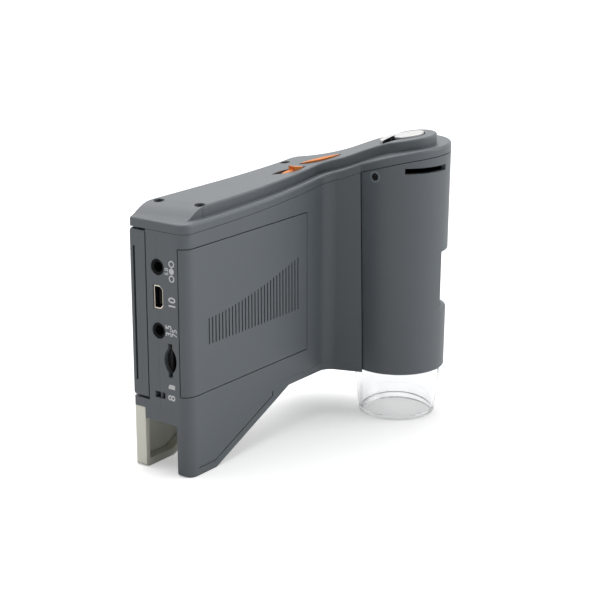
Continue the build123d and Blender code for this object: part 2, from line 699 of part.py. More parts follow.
def bay_roof():
    """Shelf over the closed screen, inside the cover, with the bosses for its two screws."""
    low = SCREEN_TOP + SCREEN_GAP
    y0, y1 = BAY_FLOOR_Y - BAY_WALL, BODY_DEPTH - WALL - SCREEN_GAP
    x0, x1 = WALL + SCREEN_GAP, HINGE_X + HINGE_R + 2 * SCREEN_GAP + BAY_WALL
    roof = block(x0, x1, y0, y1, low, low + BAY_ROOF)
    roof += block(x0, x1, y0, BAY_FLOOR_Y, low - BAY_ROOF, low + BAY_ROOF)
    for x in (BACK_SCREW_NEAR_X, BACK_SCREW_FAR_X):
        top = screw_seat(x, BACK_SCREW_Y) - SCREW_SEAT
        roof += rod(x, BACK_SCREW_Y, low, BACK_BOSS_R, top - low)
    return roof


def key_places():
    """The five keys: four round one in the middle."""
    yield "menu_key", KEY_X, KEY_Z + KEY_PITCH
    yield "down_key", KEY_X, KEY_Z - KEY_PITCH
    yield "left_key", KEY_X - KEY_PITCH, KEY_Z
    yield "right_key", KEY_X + KEY_PITCH, KEY_Z
    yield "ok_key", KEY_X, KEY_Z


def hinge_posts(z0, z1):
    """A length of the round column that the screen hangs on."""
    return rod(HINGE_X, HINGE_Y, z0, HINGE_R, z1 - z0)


def front_shell():
    """Screen-side shell, with the bay for the screen and the hinge column."""
    outer = body_block(0, BODY_BOTTOM, -COVER_LIP - COVER_JOINT)
    hollow = body_block(WALL, BODY_BOTTOM + WALL, 0) - screen_bay(BAY_WALL)
    shell = outer - hollow
    shell += lanyard_pocket(LANYARD_WALL)
    shell -= screen_bay()
    shell += bay_roof()
    shell -= block(-1, LEG_TOP_X, -FAR, FAR, 0, SHELL_STEP_Z)
    shell -= block(LEG_TOP_X, FAR, -FAR, FAR, 0, BODY_BOTTOM + BOTTOM_COVER_HEIGHT)
    shell -= barrel_cone(0, 2 * RIM_HIGH, SHELL_GAP)
    shell -= block(-1, SCREEN_SHELL_X, -FAR, PARTING_Y, 0, FAR)
    middle = (SCREEN_BOTTOM + SCREEN_TOP) / 2
    half = HINGE_BLOCK_HEIGHT / 2
    low, high = SCREEN_BOTTOM - SCREEN_GAP, SCREEN_TOP
    for z0, z1 in ((low, middle - half - HINGE_GAP), (middle + half + HINGE_GAP, high)):
        shell += hinge_posts(z0, z1)
        shell += block(HINGE_X - HINGE_POST_FOOT, HINGE_X + HINGE_R + 2 * SCREEN_GAP, BAY_FLOOR_Y, HINGE_Y, z0, z1)
    shell -= hinge_pin()
    for _, x, z in key_places():
        shell -= rod(x, BAY_FLOOR_Y - BAY_WALL - 1, z, KEY_R + KEY_GAP, BAY_WALL + 2, "y")
    return shell - port_cuts() - cover_screws()


def bottom_cover():
    """The strip that closes the underside from the legs to the barrel."""
    top = BODY_BOTTOM + BOTTOM_COVER_HEIGHT
    strip = prism(body_plan(), BODY_BOTTOM, top) - block(-1, LEG_TOP_X, -FAR, FAR, 0, FAR)
    slope = BODY_BOTTOM / (LEG_SLOPE_X - FOOT_LENGTH)
    wedge = make_face(Polyline((LEG_TOP_X, (LEG_TOP_X - FOOT_LENGTH) * slope),
                               (LEG_SLOPE_X, BODY_BOTTOM), (LEG_TOP_X, BODY_BOTTOM), close=True))
    strip += side_prism(wedge, 0, LEG_THICK)
    strip += side_prism(wedge, BODY_DEPTH - LEG_THICK, BODY_DEPTH)
    return strip - barrel_cone(0, RIM_LOW, SHELL_GAP)


def front_leg():
    """The pale leg on the screen side, hollow behind its rim."""
    leg = side_prism(leg_outline(), BODY_DEPTH - LEG_THICK, BODY_DEPTH) & prism(body_plan(), 0, SHELL_STEP_Z)
    leg -= side_prism(leg_hollow(), BODY_DEPTH - LEG_THICK, BODY_DEPTH - LEG_THICK + LEG_RECESS)
    return leg


# Battery door, battery and contacts ---------------------------------------------------------------

def door_hooks(grow=0.0, back=0.0):
    """Two hooks that reach behind the shell at the door's far edge, or their space over its travel."""
    tongue_y = WALL + DOOR_GAP
    x0 = DOOR_EDGE_X - HOOK_LENGTH - grow - back
    hooks = []
    for z in (DOOR_BOTTOM + HOOK_INSET, DOOR_TOP - HOOK_INSET):
        low, high = z - HOOK_HEIGHT / 2 - grow, z + HOOK_HEIGHT / 2 + grow
        hooks.append(block(x0, DOOR_EDGE_X - HOOK_LENGTH / 2 + grow, DOOR_THICK - DOOR_GAP,
                           tongue_y + HOOK_THICK, low, high))
        hooks.append(block(x0, DOOR_EDGE_X + HOOK_REACH + grow, tongue_y - grow,
                           tongue_y + HOOK_THICK + grow, low, high))
    return Part() + hooks


def battery_door():
    """The sliding door, wrapped round the corner, with grip ribs that grow towards the barrel."""
    door = door_region(0) + door_hooks()
    step = (GRIP_END_X - GRIP_START_X) / (GRIP_COUNT - 1)
    grooves = []
    for i in range(GRIP_COUNT):
        share = i / (GRIP_COUNT - 1)
        x = GRIP_START_X + i * step
        top = GRIP_BOTTOM + GRIP_SHORT + (GRIP_LONG - GRIP_SHORT) * share ** GRIP_SWELL
        grooves.append(block(x - GRIP_WIDTH / 2, x + GRIP_WIDTH / 2, -1, GRIP_DEPTH, GRIP_BOTTOM, top))
    return door - grooves


def battery_pack():
    y0 = DOOR_THICK + DOOR_GAP + BATTERY_SET
    pack = block(BATTERY_X, BATTERY_X + BATTERY_LENGTH, y0, y0 + BATTERY_THICK,
                 BATTERY_Z, BATTERY_Z + BATTERY_HEIGHT)
    return fillet(pack.edges().filter_by(Axis.Z), BATTERY_EDGE_R)


def contact_places():
    middle = BATTERY_Z + BATTERY_HEIGHT / 2
    for i in range(CONTACT_COUNT):
        yield middle + (i - (CONTACT_COUNT - 1) / 2) * CONTACT_PITCH


def contact(z, gap=0.0):
    """One spring contact from the board to the battery's back, or its slot in the tray."""
    y0 = DOOR_THICK + DOOR_GAP + BATTERY_SET + BATTERY_THICK
    return block(CONTACT_X - gap, CONTACT_X + CONTACT_LENGTH + gap, y0, BOARD_Y,
                 z - CONTACT_WIDTH / 2 - gap, z + CONTACT_WIDTH / 2 + gap)


def battery_contacts():
    return Part() + [contact(z) for z in contact_places()]


# Circuit board and sockets ------------------------------------------------------------------------

def jack_body(z):
    """Outside of a round socket: a block on the board and a nose in the end wall."""
    body = block(WALL + PORT_GAP, JACK_LENGTH, PARTING_Y - JACK_HEIGHT / 2, PARTING_Y + JACK_HEIGHT / 2,
                 z - JACK_WIDTH / 2, z + JACK_WIDTH / 2)
    return body + rod(SOCKET_SET_BACK, PARTING_Y, z, JACK_NOSE_R, JACK_LENGTH / 2, "x")


def av_jack():
    return jack_body(AV_Z) - rod(-1, PARTING_Y, AV_Z, JACK_BORE_R, 1 + JACK_BORE_DEPTH, "x")


def dc_jack():
    jack = jack_body(POWER_Z) - rod(-1, PARTING_Y, POWER_Z, JACK_BORE_R, 1 + JACK_BORE_DEPTH, "x")
    length = JACK_BORE_DEPTH - CENTRE_PIN_SET + PORT_GAP
    return jack + rod(CENTRE_PIN_SET, PARTING_Y, POWER_Z, CENTRE_PIN_R, length, "x")


def usb_outline():
    """A mini socket's outline, drawn in depth and height about its centre."""
    half, tall = USB_HEIGHT / 2, USB_WIDTH / 2
    step = USB_HEIGHT * USB_STEP
    outline = Polyline((-half, -tall + step), (-half + step, -tall), (half, -tall), (half, tall),
                       (-half + step, tall), (-half, tall - step), close=True)
    return make_face(outline)


def usb_socket():
    """Metal shell of the mini socket with its tongue."""
    place = Pos(PARTING_Y, USB_Z)
    end = SOCKET_SET_BACK + USB_LENGTH
    shell = end_prism(place * usb_outline(), SOCKET_SET_BACK, end)
    shell -= end_prism(place * offset(usb_outline(), -USB_METAL), SOCKET_SET_BACK - 1, end - 1)
    tongue = block(SOCKET_SET_BACK + TONGUE_SET, end - TONGUE_SET / 2, PARTING_Y - TONGUE_LOW,
                   PARTING_Y + TONGUE_HIGH, USB_Z - TONGUE_HALF, USB_Z + TONGUE_HALF)
    return shell + tongue


def card_socket():
    """Card reader under the board, with a stepped face plate behind the scoop."""
    start = WALL + PORT_GAP
    half = CARD_BODY_WIDTH / 2
    body = block(start + CARD_PLATE / 2, start + CARD_LENGTH, BOARD_Y - CARD_BODY_HEIGHT, BOARD_Y,
                 CARD_Z - half, CARD_Z + half)
    body -= block(0, start + CARD_PLATE + PORT_GAP, 0, FAR, CARD_Z + CARD_PLATE_HALF, FAR)
    plate = block(start, start + CARD_PLATE, DOOR_WRAP_Y + LEDGE_WIDTH + PORT_GAP, CARD_Y + CARD_PLATE_REACH,
                  CARD_Z - CARD_PLATE_HALF, CARD_Z + CARD_PLATE_HALF)
    card = CARD_WIDTH / 2
    plate -= block(0, start + CARD_STEP, 0, CARD_Y + CARD_SLOT / 2, CARD_Z - card, CARD_Z + card)
    return body + plate - block(0, WALL + CARD_LENGTH - 1, CARD_Y - CARD_SLOT / 2, CARD_Y + CARD_SLOT / 2,
                                CARD_Z - card, CARD_Z + card)


def lanyard_bar():
    """Steel bar across the strap recess."""
    length = LANYARD_HEIGHT + 2 * LANYARD_BAR_SEAT
    return rod(LANYARD_BAR_X, PARTING_Y, LANYARD_Z - length / 2, LANYARD_BAR_R, length)


def main_board():
    """Board that carries the sockets, notched where they are sunk into it."""
    x0 = WALL + BOARD_PLAY
    board = block(x0, BOARD_END_X, BOARD_Y, SIDE_BOARD_Y, BOARD_BOTTOM, BOARD_TOP)
    for z, half in ((POWER_Z, JACK_WIDTH / 2), (AV_Z, JACK_WIDTH / 2)):
        board -= block(0, JACK_LENGTH + PORT_GAP, 0, FAR, z - half - PORT_GAP, z + half + PORT_GAP)
    board -= block(0, WALL + CARD_PLATE + 2 * PORT_GAP, 0, FAR, CARD_Z - CARD_PLATE_HALF - PORT_GAP,
                   CARD_Z + CARD_PLATE_HALF + PORT_GAP)
    board -= lanyard_pocket(LANYARD_WALL + PORT_GAP)
    for z in (BOARD_BOTTOM + BOARD_HOLE_SET, BOARD_TOP - BOARD_HOLE_SET):
        board -= rod(BOARD_END_X - BOARD_HOLE_SET, 0, z, BOARD_HOLE_R, FAR, "y")
    return board


def key_switches():
    """Tact switches on the board behind the keys."""
    switches = []
    for _, x, z in key_places():
        half = SWITCH_SIZE / 2
        body = block(x - half, x + half, SIDE_BOARD_Y, SIDE_BOARD_Y + SWITCH_BODY, z - half, z + half)
        switches.append(body + rod(x, SIDE_BOARD_Y + SWITCH_BODY, z, SWITCH_PLUNGER_R, SWITCH_PLUNGER, "y"))
    return Part() + switches


def key(x, z):
    """One round key: cap in the bay's floor, flange behind it and stem to its switch."""
    top = BAY_FLOOR_Y - KEY_SINK
    back = BAY_FLOOR_Y - BAY_WALL - KEY_PLAY
    stem_end = SIDE_BOARD_Y + SWITCH_BODY + SWITCH_PLUNGER + KEY_TRAVEL + PRESS_GAP
    cap = rod(x, back - KEY_PLAY, z, KEY_R, top - back + KEY_PLAY, "y")
    cap = fillet(cap.edges().sort_by(Axis.Y)[-1], KEY_EDGE_R)
    flange = rod(x, back - KEY_FLANGE_THICK, z, KEY_R + KEY_FLANGE, KEY_FLANGE_THICK, "y")
    stem = rod(x, stem_end, z, KEY_STEM_R, back - stem_end, "y")
    return cap + flange + stem


# Screen -------------------------------------------------------------------------------------------

def screen_box(inset, y0, y1):
    """A slice of the closed screen, moved in from its edges."""
    return block(inset, SCREEN_LENGTH - inset, y0, y1, SCREEN_BOTTOM + inset, SCREEN_TOP - inset)


def lcd_back_shell():
    """Outer half of the screen's case, seen when it is shut."""
    y0 = BODY_DEPTH - SCREEN_THICK + BEZEL_THICK
    shell = screen_box(0, y0, BODY_DEPTH)
    shell = fillet(shell.edges().filter_by(Axis.Y), EDGE_R)
    shell = fillet(shell.edges().group_by(Axis.Y)[-1], SCREEN_FACE_R)
    shell -= screen_box(SCREEN_WALL, y0 - 1, BODY_DEPTH - SCREEN_WALL)
    groove_y = BODY_DEPTH - PULL_GROOVE_SET
    half = PULL_GROOVE_WIDTH / 2
    shell -= block(-1, PULL_GROOVE_DEPTH, groove_y - half, groove_y + half, PULL_GROOVE_BOTTOM, PULL_GROOVE_TOP)
    return shell - tongue()


def tongue():
    """The hinge block's tongue, which both halves of the screen's case close on."""
    middle = (SCREEN_BOTTOM + SCREEN_TOP) / 2
    return block(SCREEN_LENGTH - TONGUE_REACH, HINGE_X, HINGE_Y - TONGUE_THICK / 2, HINGE_Y + TONGUE_THICK / 2,
                 middle - TONGUE_HEIGHT / 2, middle + TONGUE_HEIGHT / 2)


def lcd_bezel():
    """Inner half of the case, with the window."""
    y0 = BODY_DEPTH - SCREEN_THICK
    bezel = screen_box(0, y0, y0 + BEZEL_THICK)
    bezel = fillet(bezel.edges().filter_by(Axis.Y), EDGE_R)
    x, z = SCREEN_LENGTH / 2, (SCREEN_BOTTOM + SCREEN_TOP) / 2
    half, tall = WINDOW_LENGTH / 2, WINDOW_HEIGHT / 2
    bezel -= block(x - half, x + half, y0 - 1, FAR, z - tall, z + tall)
    bezel -= screen_box(SCREEN_WALL, y0 + WINDOW_THICK + WINDOW_SEAT, FAR)
    return bezel - tongue()


def lcd_window():
    """Clear pane in the window."""
    y0 = BODY_DEPTH - SCREEN_THICK
    x, z = SCREEN_LENGTH / 2, (SCREEN_BOTTOM + SCREEN_TOP) / 2
    half, tall = WINDOW_LENGTH / 2, WINDOW_HEIGHT / 2
    return block(x - half, x + half, y0 + WINDOW_SINK, y0 + WINDOW_SINK + WINDOW_THICK, z - tall, z + tall)


def lcd_module():
    """The display itself, behind the bezel."""
    y0 = BODY_DEPTH - SCREEN_THICK + WINDOW_THICK + WINDOW_SEAT
    x, z = SCREEN_LENGTH / 2 - 1, (SCREEN_BOTTOM + SCREEN_TOP) / 2
    half, tall = MODULE_LENGTH / 2, MODULE_HEIGHT / 2
    return block(x - half, x + half, y0, y0 + MODULE_THICK, z - tall, z + tall)


def hinge_block():
    """Middle of the hinge column, which turns with the screen."""
    middle = (SCREEN_BOTTOM + SCREEN_TOP) / 2
    half = HINGE_BLOCK_HEIGHT / 2
    side = HINGE_R - HINGE_ARM_INSET
    shape = hinge_posts(middle - half, middle + half) + tongue()
    shape += block(SCREEN_LENGTH + HINGE_GAP, HINGE_X, HINGE_Y - side, HINGE_Y + side, middle - half, middle + half)
    return shape - rod(HINGE_X, HINGE_Y, middle - half - 1, HINGE_PIN_R + HINGE_PIN_PLAY, 2 * half + 2)


def hinge_pin():
    middle = (SCREEN_BOTTOM + SCREEN_TOP) / 2
    half = HINGE_BLOCK_HEIGHT / 2 + HINGE_PIN_REACH
    return rod(HINGE_X, HINGE_Y, middle - half, HINGE_PIN_R, 2 * half)


# Top cover and its controls -----------------------------------------------------------------------

def deck_ramp():
    """Space that the deck's sloping front leaves, measured from its foot."""
    top = RIM_LOW + DECK_RISE
    front = Bezier((0, RIM_LOW), (RAMP_FOOT * DECK_RAMP, RIM_LOW + RAMP_FOOT * DECK_RISE),
                   (RAMP_HEAD * DECK_RAMP, top), (DECK_RAMP, top))
    rest = Polyline((0, RIM_LOW), (0, 0), (FAR, 0), (FAR, FAR), (DECK_RAMP, FAR), (DECK_RAMP, top))
    keep = make_face(Wire([*front.edges(), *rest.edges()]))
    run = BODY_DEPTH - DECK_LEDGE
    lean = degrees(atan2(DECK_START_NEAR - DECK_START_FAR, run))
    solid = side_prism(keep, -FAR, FAR)
    return Pos(DECK_START_NEAR, DECK_LEDGE, 0) * Rotation(0, 0, lean) * solid


def almond(length, width):
    """A pointed oval, the outline of both deck controls."""
    radius = (length ** 2 + width ** 2) / (4 * width)
    shift = radius - width / 2
    return (Pos(0, shift) * Circle(radius)) & (Pos(0, -shift) * Circle(radius))


def outer_edges(solid):
    """The rim of a solid's upward faces, where they meet its sides."""
    tops = [face for face in solid.faces() if face.normal_at().Z > 0.5]
    edges = [edge for face in tops for edge in face.edges()]
    return [edge for edge in edges if sum(edge.is_same(other) for other in edges) == 1]


def slider_plane():
    return deck_plane(SLIDER_X, SLIDER_Y, SLIDER_TURN)


def rocker_plane():
    return deck_plane(ROCKER_X, ROCKER_Y, ROCKER_TURN)


def shutter_plane():
    return deck_plane(SHUTTER_X, SHUTTER_Y)


def plane_block(plane, x, y, length, width, z0, z1):
    """A box on a plane, centred on a point of it, between two heights."""
    return extrude(plane.offset(z0) * Pos(x, y) * Rectangle(length, width), z1 - z0)


def plane_rod(plane, x, y, radius, z0, z1):
    """A cylinder that stands on a plane, between two heights."""
    return extrude(plane.offset(z0) * Pos(x, y) * Circle(radius), z1 - z0)


def screw_seat(x, y):
    """Height at which a cover screw's head sits."""
    return deck_height(x, y) - SCREW_SINK - SCREW_HEAD


def screw(head_r, shank_r, gap=0.0):
    """A screw with its head's seat at the origin, pointing down; with a gap, its hole."""
    head = Cylinder(head_r + gap, SCREW_HEAD + (FAR if gap else 0), align=(Align.CENTER, Align.CENTER, Align.MIN))
    shank = Cylinder(shank_r, SCREW_LENGTH, align=(Align.CENTER, Align.CENTER, Align.MAX))
    return head + shank


def screw_places():
    yield CORNER_SCREW_X, CORNER_SCREW_Y
    yield BACK_SCREW_NEAR_X, BACK_SCREW_Y
    yield BACK_SCREW_FAR_X, BACK_SCREW_Y


def cover_screws():
    """The three screws that hold the cover."""
    return Part() + [Pos(x, y, screw_seat(x, y)) * screw(SCREW_HEAD_R, SCREW_SHANK_R) for x, y in screw_places()]


def barrel_screw(gap=0.0):
    """The screw through the barrel's wall into the cover's tab."""
    depth = barrel_radius(BARREL_SCREW_Z) - BARREL_SCREW_SINK - SCREW_HEAD
    place = Pos(0, 0, BARREL_SCREW_Z) * Rotation(0, 0, BARREL_SCREW_TURN) * Pos(depth, 0, 0) * Rotation(0, 90, 0)
    return on_axis(place * screw(SCREW_HEAD_R, SCREW_SHANK_R, gap))


def polar(reach, turn):
    return reach * cos(radians(turn)), reach * sin(radians(turn))


def crescent_outline():
    """Sickle beside the shutter button, pointed at both ends."""
    tail, head = polar(CRESCENT_TAIL_R, CRESCENT_TAIL_TURN), polar(CRESCENT_HEAD_R, CRESCENT_HEAD_TURN)
    outer = ThreePointArc(tail, polar(CRESCENT_OUTER_R, CRESCENT_OUTER_TURN), head)
    inner = ThreePointArc(head, polar(CRESCENT_INNER_R, CRESCENT_INNER_TURN), tail)
    return make_face(Wire([*outer.edges(), *inner.edges()]))


def crescent_recess():
    """Dark recess between crescent and button."""
    tail = polar(CRESCENT_TAIL_R, CRESCENT_TAIL_TURN)
    inner = polar(CRESCENT_INNER_R, CRESCENT_INNER_TURN)
    wedge = make_face(Polyline(tail, inner, polar(SHUTTER_R, CRESCENT_HEAD_TURN),
                               polar(SHUTTER_R, CRESCENT_WEDGE_TURN), close=True))
    seat = offset(crescent_outline(), CRESCENT_GAP)
    return extrude(shutter_plane().offset(-CRESCENT_SINK) * seat, FAR) + \
        extrude(shutter_plane().offset(-CRESCENT_PIT) * wedge, FAR)


def crescent_trim():
    plane = shutter_plane().offset(-CRESCENT_SINK)
    return extrude(plane * crescent_outline(), CRESCENT_SINK + CRESCENT_RISE)


def control_posts():
    """Two posts of the cover that hold the control board."""
    yield CONTROL_BOARD_X + POST_R, CONTROL_BOARD_Y + POST_R
    yield CONTROL_BOARD_X + CONTROL_BOARD_LENGTH - POST_R, CONTROL_BOARD_Y + CONTROL_BOARD_WIDTH - POST_R


def shutter_posts():
    """The same for the shutter board, on its own plane."""
    for side in (-SHUTTER_POST_SPREAD, SHUTTER_POST_SPREAD):
        yield polar(SHUTTER_POST, SHUTTER_BOARD_TURN + side)


def rocker_lugs():
    """Ears under the deck that the rocker's trunnions turn in."""
    plane = rocker_plane()
    ears = []
    for side in (-1, 1):
        middle = side * (TRUNNION_REACH - LUG_THICK / 2)
        ears.append(plane_block(plane, 0, middle, LUG_WIDTH, LUG_THICK,
                                -ROCKER_PIVOT - LUG_WIDTH / 2, -COVER_SKIN / 2))
    return ears


def trunnion(play=0.0):
    """Cross pin of the rocker, under the deck."""
    plane = rocker_plane()
    side = Plane(origin=plane.from_local_coords((0, -TRUNNION_REACH - play, -ROCKER_PIVOT)),
                 x_dir=plane.x_dir, z_dir=plane.y_dir)
    return extrude(side * Circle(TRUNNION_R + play), 2 * (TRUNNION_REACH + play))


def top_cover():
    """The sculpted cover: rim, ledge and raised deck over both body and barrel."""
    high = RIM_HIGH + DECK_RISE + 5
    low = RIM_LOW - COVER_LIP - 5
    joint = below_rim(-COVER_LIP)
    rim = prism(cover_plan(), low, high) & below_rim(0)
    rim = fillet(outer_edges(rim), RIM_EDGE_R)
    deck = prism(deck_plan(), low, high) & below_rim(DECK_RISE)
    deck = fillet([edge for edge in outer_edges(deck) if edge.center().X > CORNER_R], DECK_EDGE_R) & deck_ramp()
    cover = rim + deck - joint
    inner = offset(cover_plan(), -WALL, kind=Kind.INTERSECTION)
    hollow = prism(inner, low, high) & below_rim(-COVER_SKIN)
    under_deck = deck_plan(DECK_WALL) - Rectangle(2 * (DECK_START_NEAR + DECK_RAMP), FAR)
    hollow += prism(under_deck, low, high) & below_rim(DECK_RISE - COVER_SKIN)
    cover -= hollow
    added = []
    for x, y in screw_places():
        seat = screw_seat(x, y)
        added.append(rod(x, y, seat - SCREW_SEAT, SCREW_SLEEVE_R, SCREW_SEAT + SCREW_HEAD + SCREW_SINK / 2))
    for x, y in control_posts():
        added.append(rod(x, y, CONTROL_BOARD_TOP, POST_R, deck_height(x, y) - COVER_SKIN / 2 - CONTROL_BOARD_TOP))
    board_top = -shutter_board_depth()
    for x, y in shutter_posts():
        added.append(plane_rod(shutter_plane(), x, y, SHUTTER_POST_R, board_top, -COVER_SKIN / 2))
    cover += added + rocker_lugs() + [barrel_tab()]
    for x, y in screw_places():
        cover -= rod(x, y, low, SCREW_SLEEVE_R + SCREW_HOLE_GAP, screw_seat(x, y) - SCREW_SEAT - low)
        cover -= Pos(x, y, screw_seat(x, y)) * screw(SCREW_HEAD_R, SCREW_SHANK_R, SCREW_HOLE_GAP)
    cover -= barrel_screw()
    cover -= trunnion(TRUNNION_PLAY)
    for plane, length, width in ((slider_plane(), CONTROL_LENGTH, CONTROL_WIDTH),
                                 (rocker_plane(), ROCKER_LENGTH, ROCKER_WIDTH)):
        cover -= extrude(plane * almond(length, width), COVER_SKIN + DECK_RISE / 2, both=True)
    cover -= plane_rod(shutter_plane(), 0, 0, SHUTTER_R + SHUTTER_GAP, -DECK_RISE, DECK_RISE)
    return cover - crescent_recess()


def barrel_tab():
    """Tab that hangs from the cover inside the barrel, for the barrel's screw."""
    inset = BARREL_WALL + BARREL_BOSS + TIP_PLAY
    outer = barrel_radius(BARREL_SCREW_Z) - inset
    turn = radians(BARREL_SCREW_TURN)
    top = rim_height(BARREL_X + outer * cos(turn), BARREL_Y + outer * sin(turn)) - COVER_SKIN / 2
    low = BARREL_SCREW_Z - TAB_BELOW
    tab = block(outer - TAB_THICK, outer + 1, -TAB_WIDTH / 2, TAB_WIDTH / 2, low, top)
    return on_axis(Rotation(0, 0, BARREL_SCREW_TURN) * tab) & barrel_cone(low, top, -inset)


def crown(plane, x, length, width, rise):
    """Domed space over a control: half of a flattened egg of a given half length and width."""
    egg = scale(Sphere(1), by=(length, width, CROWN_DEPTH))
    return plane.location * Pos(x, 0, rise - CROWN_DEPTH) * egg + \
        plane_block(plane, x, 0, 2 * length, 2 * width, -FAR / 10, rise - CROWN_DEPTH)


def power_slider():
    """Thumb slider: a low domed pad and a raised wedge, over a plate that keeps it under the deck."""
    plane = slider_plane()
    top = -COVER_SKIN - PLATE_GAP
    outline = Pos(SLIDER_REST, 0) * almond(SLIDER_LENGTH, SLIDER_WIDTH)
    pad = extrude(plane.offset(top - SLIDER_PLATE) * outline, SLIDER_RISE + SLIDER_PLATE - top)
    slider = pad & crown(plane, SLIDER_REST, SLIDER_LENGTH * SLIDER_SPREAD, SLIDER_WIDTH * SLIDER_SPREAD,
                         SLIDER_RISE)
    end = SLIDER_REST + SLIDER_LENGTH / 2
    slope = Plane(origin=plane.origin, x_dir=plane.x_dir, z_dir=-plane.y_dir)
    profile = make_face(Polyline((end - SLIDER_WEDGE, 0), (end - SLIDER_WEDGE, SLIDER_WEDGE_RISE),
                                 (end, SLIDER_RISE), (end, top), (end - SLIDER_WEDGE, top), close=True))
    wedge = extrude(slope * profile, SLIDER_WIDTH / 2, both=True)
    slider += wedge & extrude(plane.offset(top) * outline, SLIDER_WEDGE_RISE - top)
    slider += plane_block(plane, SLIDER_REST, 0, SLIDER_PLATE_LENGTH, SLIDER_PLATE_WIDTH, top - SLIDER_PLATE, top)
    x, y, z = lever_place()
    fork = block(x - FORK_LENGTH / 2, x + FORK_LENGTH / 2, y - LEVER_WIDTH / 2, y + LEVER_WIDTH / 2,
                 z + LEVER_DROP, slider_plane().origin.Z + top - SLIDER_PLATE / 2)
    turn = Pos(x, y, 0) * Rotation(0, 0, SLIDER_TURN) * Pos(-x, -y, 0)
    return slider + turn * fork - power_lever(LEVER_GAP)


def lever_place():
    """Where the power switch's lever leaves its case, under the slider at rest."""
    origin = slider_plane().origin
    dx, dy = polar(SLIDER_REST, SLIDER_TURN)
    return origin.X + dx, origin.Y + dy, CONTROL_BOARD_TOP + POWER_SWITCH_HEIGHT


def power_lever(gap=0.0):
    """The power switch's lever, which the slider's fork takes along."""
    x, y, z = lever_place()
    lever = Pos(x, y, z + (LEVER_RISE - LEVER_ROOT) / 2) * Rotation(0, 0, SLIDER_TURN) * \
        Box(LEVER_LENGTH + 2 * gap, LEVER_WIDTH + 2 * gap, LEVER_RISE + LEVER_ROOT + 2 * gap)
    return lever


def power_switch():
    """Slide switch on the control board, slotted for its lever's travel."""
    origin = slider_plane().origin
    dx, dy = polar(SLIDER_REST - SLIDER_TRAVEL / 2, SLIDER_TURN)
    place = Pos(origin.X + dx, origin.Y + dy, CONTROL_BOARD_TOP + POWER_SWITCH_HEIGHT / 2) * \
        Rotation(0, 0, SLIDER_TURN)
    case = Box(POWER_SWITCH_LENGTH, POWER_SWITCH_WIDTH, POWER_SWITCH_HEIGHT)
    slot = Pos(0, 0, POWER_SWITCH_HEIGHT / 2) * Box(LEVER_LENGTH + SLIDER_TRAVEL + 4 * LEVER_GAP,
                                                    LEVER_WIDTH + 4 * LEVER_GAP, 2 * (LEVER_ROOT + LEVER_DROP))
    return place * (case - slot)


def control_board():
    board = block(CONTROL_BOARD_X, CONTROL_BOARD_X + CONTROL_BOARD_LENGTH, CONTROL_BOARD_Y,
                  CONTROL_BOARD_Y + CONTROL_BOARD_WIDTH, CONTROL_BOARD_TOP - BOARD_SKIN, CONTROL_BOARD_TOP)
    return fillet(board.edges().filter_by(Axis.Z), BOARD_CORNER_R)


def rocker_leg_places():
    """Where the rocker's two legs stand over the control board."""
    plane = rocker_plane()
    for side in (-1, 1):
        foot = plane.from_local_coords((side * ROCKER_LEG, 0, -ROCKER_DEPTH))
        yield foot.X, foot.Y, foot.Z


def zoom_rocker():
    """Rocker in the second almond opening, with its trunnions and two legs."""
    plane = rocker_plane()
    outline = almond(ROCKER_LENGTH - 2 * ROCKER_END_GAP, ROCKER_WIDTH - 2 * CONTROL_GAP)
    rocker = extrude(plane.offset(-ROCKER_DEPTH) * outline, ROCKER_DEPTH + ROCKER_RISE)
    rocker = rocker & crown(plane, 0, ROCKER_LENGTH * ROCKER_SPREAD, ROCKER_WIDTH * ROCKER_SPREAD, ROCKER_RISE)
    rocker += trunnion()
    sink = ROCKER_LEG * sin(radians(ROCKER_TILT)) + PRESS_GAP
    foot = CONTROL_BOARD_TOP + SWITCH_BODY + SWITCH_PLUNGER + sink
    for x, y, z in rocker_leg_places():
        rocker += rod(x, y, foot, ROCKER_LEG_R, z - foot + 1)
    return rocker


def tact_switch(height):
    """A small push switch, standing on the origin."""
    return Pos(0, 0, height / 2) * Box(SWITCH_SIZE, SWITCH_SIZE, height) + \
        Pos(0, 0, height) * Cylinder(SWITCH_PLUNGER_R, SWITCH_PLUNGER, align=(Align.CENTER, Align.CENTER, Align.MIN))


def control_switches():
    """Tact switches under the rocker's legs and the shutter's stem."""
    found = [Pos(x, y, CONTROL_BOARD_TOP) * Rotation(0, 0, ROCKER_TURN) * tact_switch(SWITCH_BODY)
             for x, y, _ in rocker_leg_places()]
    found.append(shutter_plane().offset(-shutter_board_depth()).location * tact_switch(SWITCH_BODY))
    return Part() + found


def shutter_stem_end():
    """Depth of the button's stem end below the deck."""
    return COVER_SKIN + FLANGE_GAP + SHUTTER_FLANGE + SHUTTER_STEM


def shutter_board_depth():
    """Depth of the shutter board's face below the deck."""
    return shutter_stem_end() + SHUTTER_TRAVEL + PRESS_GAP + SWITCH_PLUNGER + SWITCH_BODY


def shutter_button():
    """Round release button, level with the sloping deck."""
    plane = shutter_plane()
    cap = plane_rod(plane, 0, 0, SHUTTER_R, -COVER_SKIN - FLANGE_GAP - SHUTTER_FLANGE, SHUTTER_RISE)
    cap = fillet(cap.edges().sort_by(lambda edge: edge.center().Z)[-1], SHUTTER_RISE / 2)
    flange_top = -COVER_SKIN - FLANGE_GAP
    cap += plane_rod(plane, 0, 0, SHUTTER_FLANGE_R, flange_top - SHUTTER_FLANGE, flange_top)
    return cap + plane_rod(plane, 0, 0, SHUTTER_STEM_R, -shutter_stem_end(), flange_top)


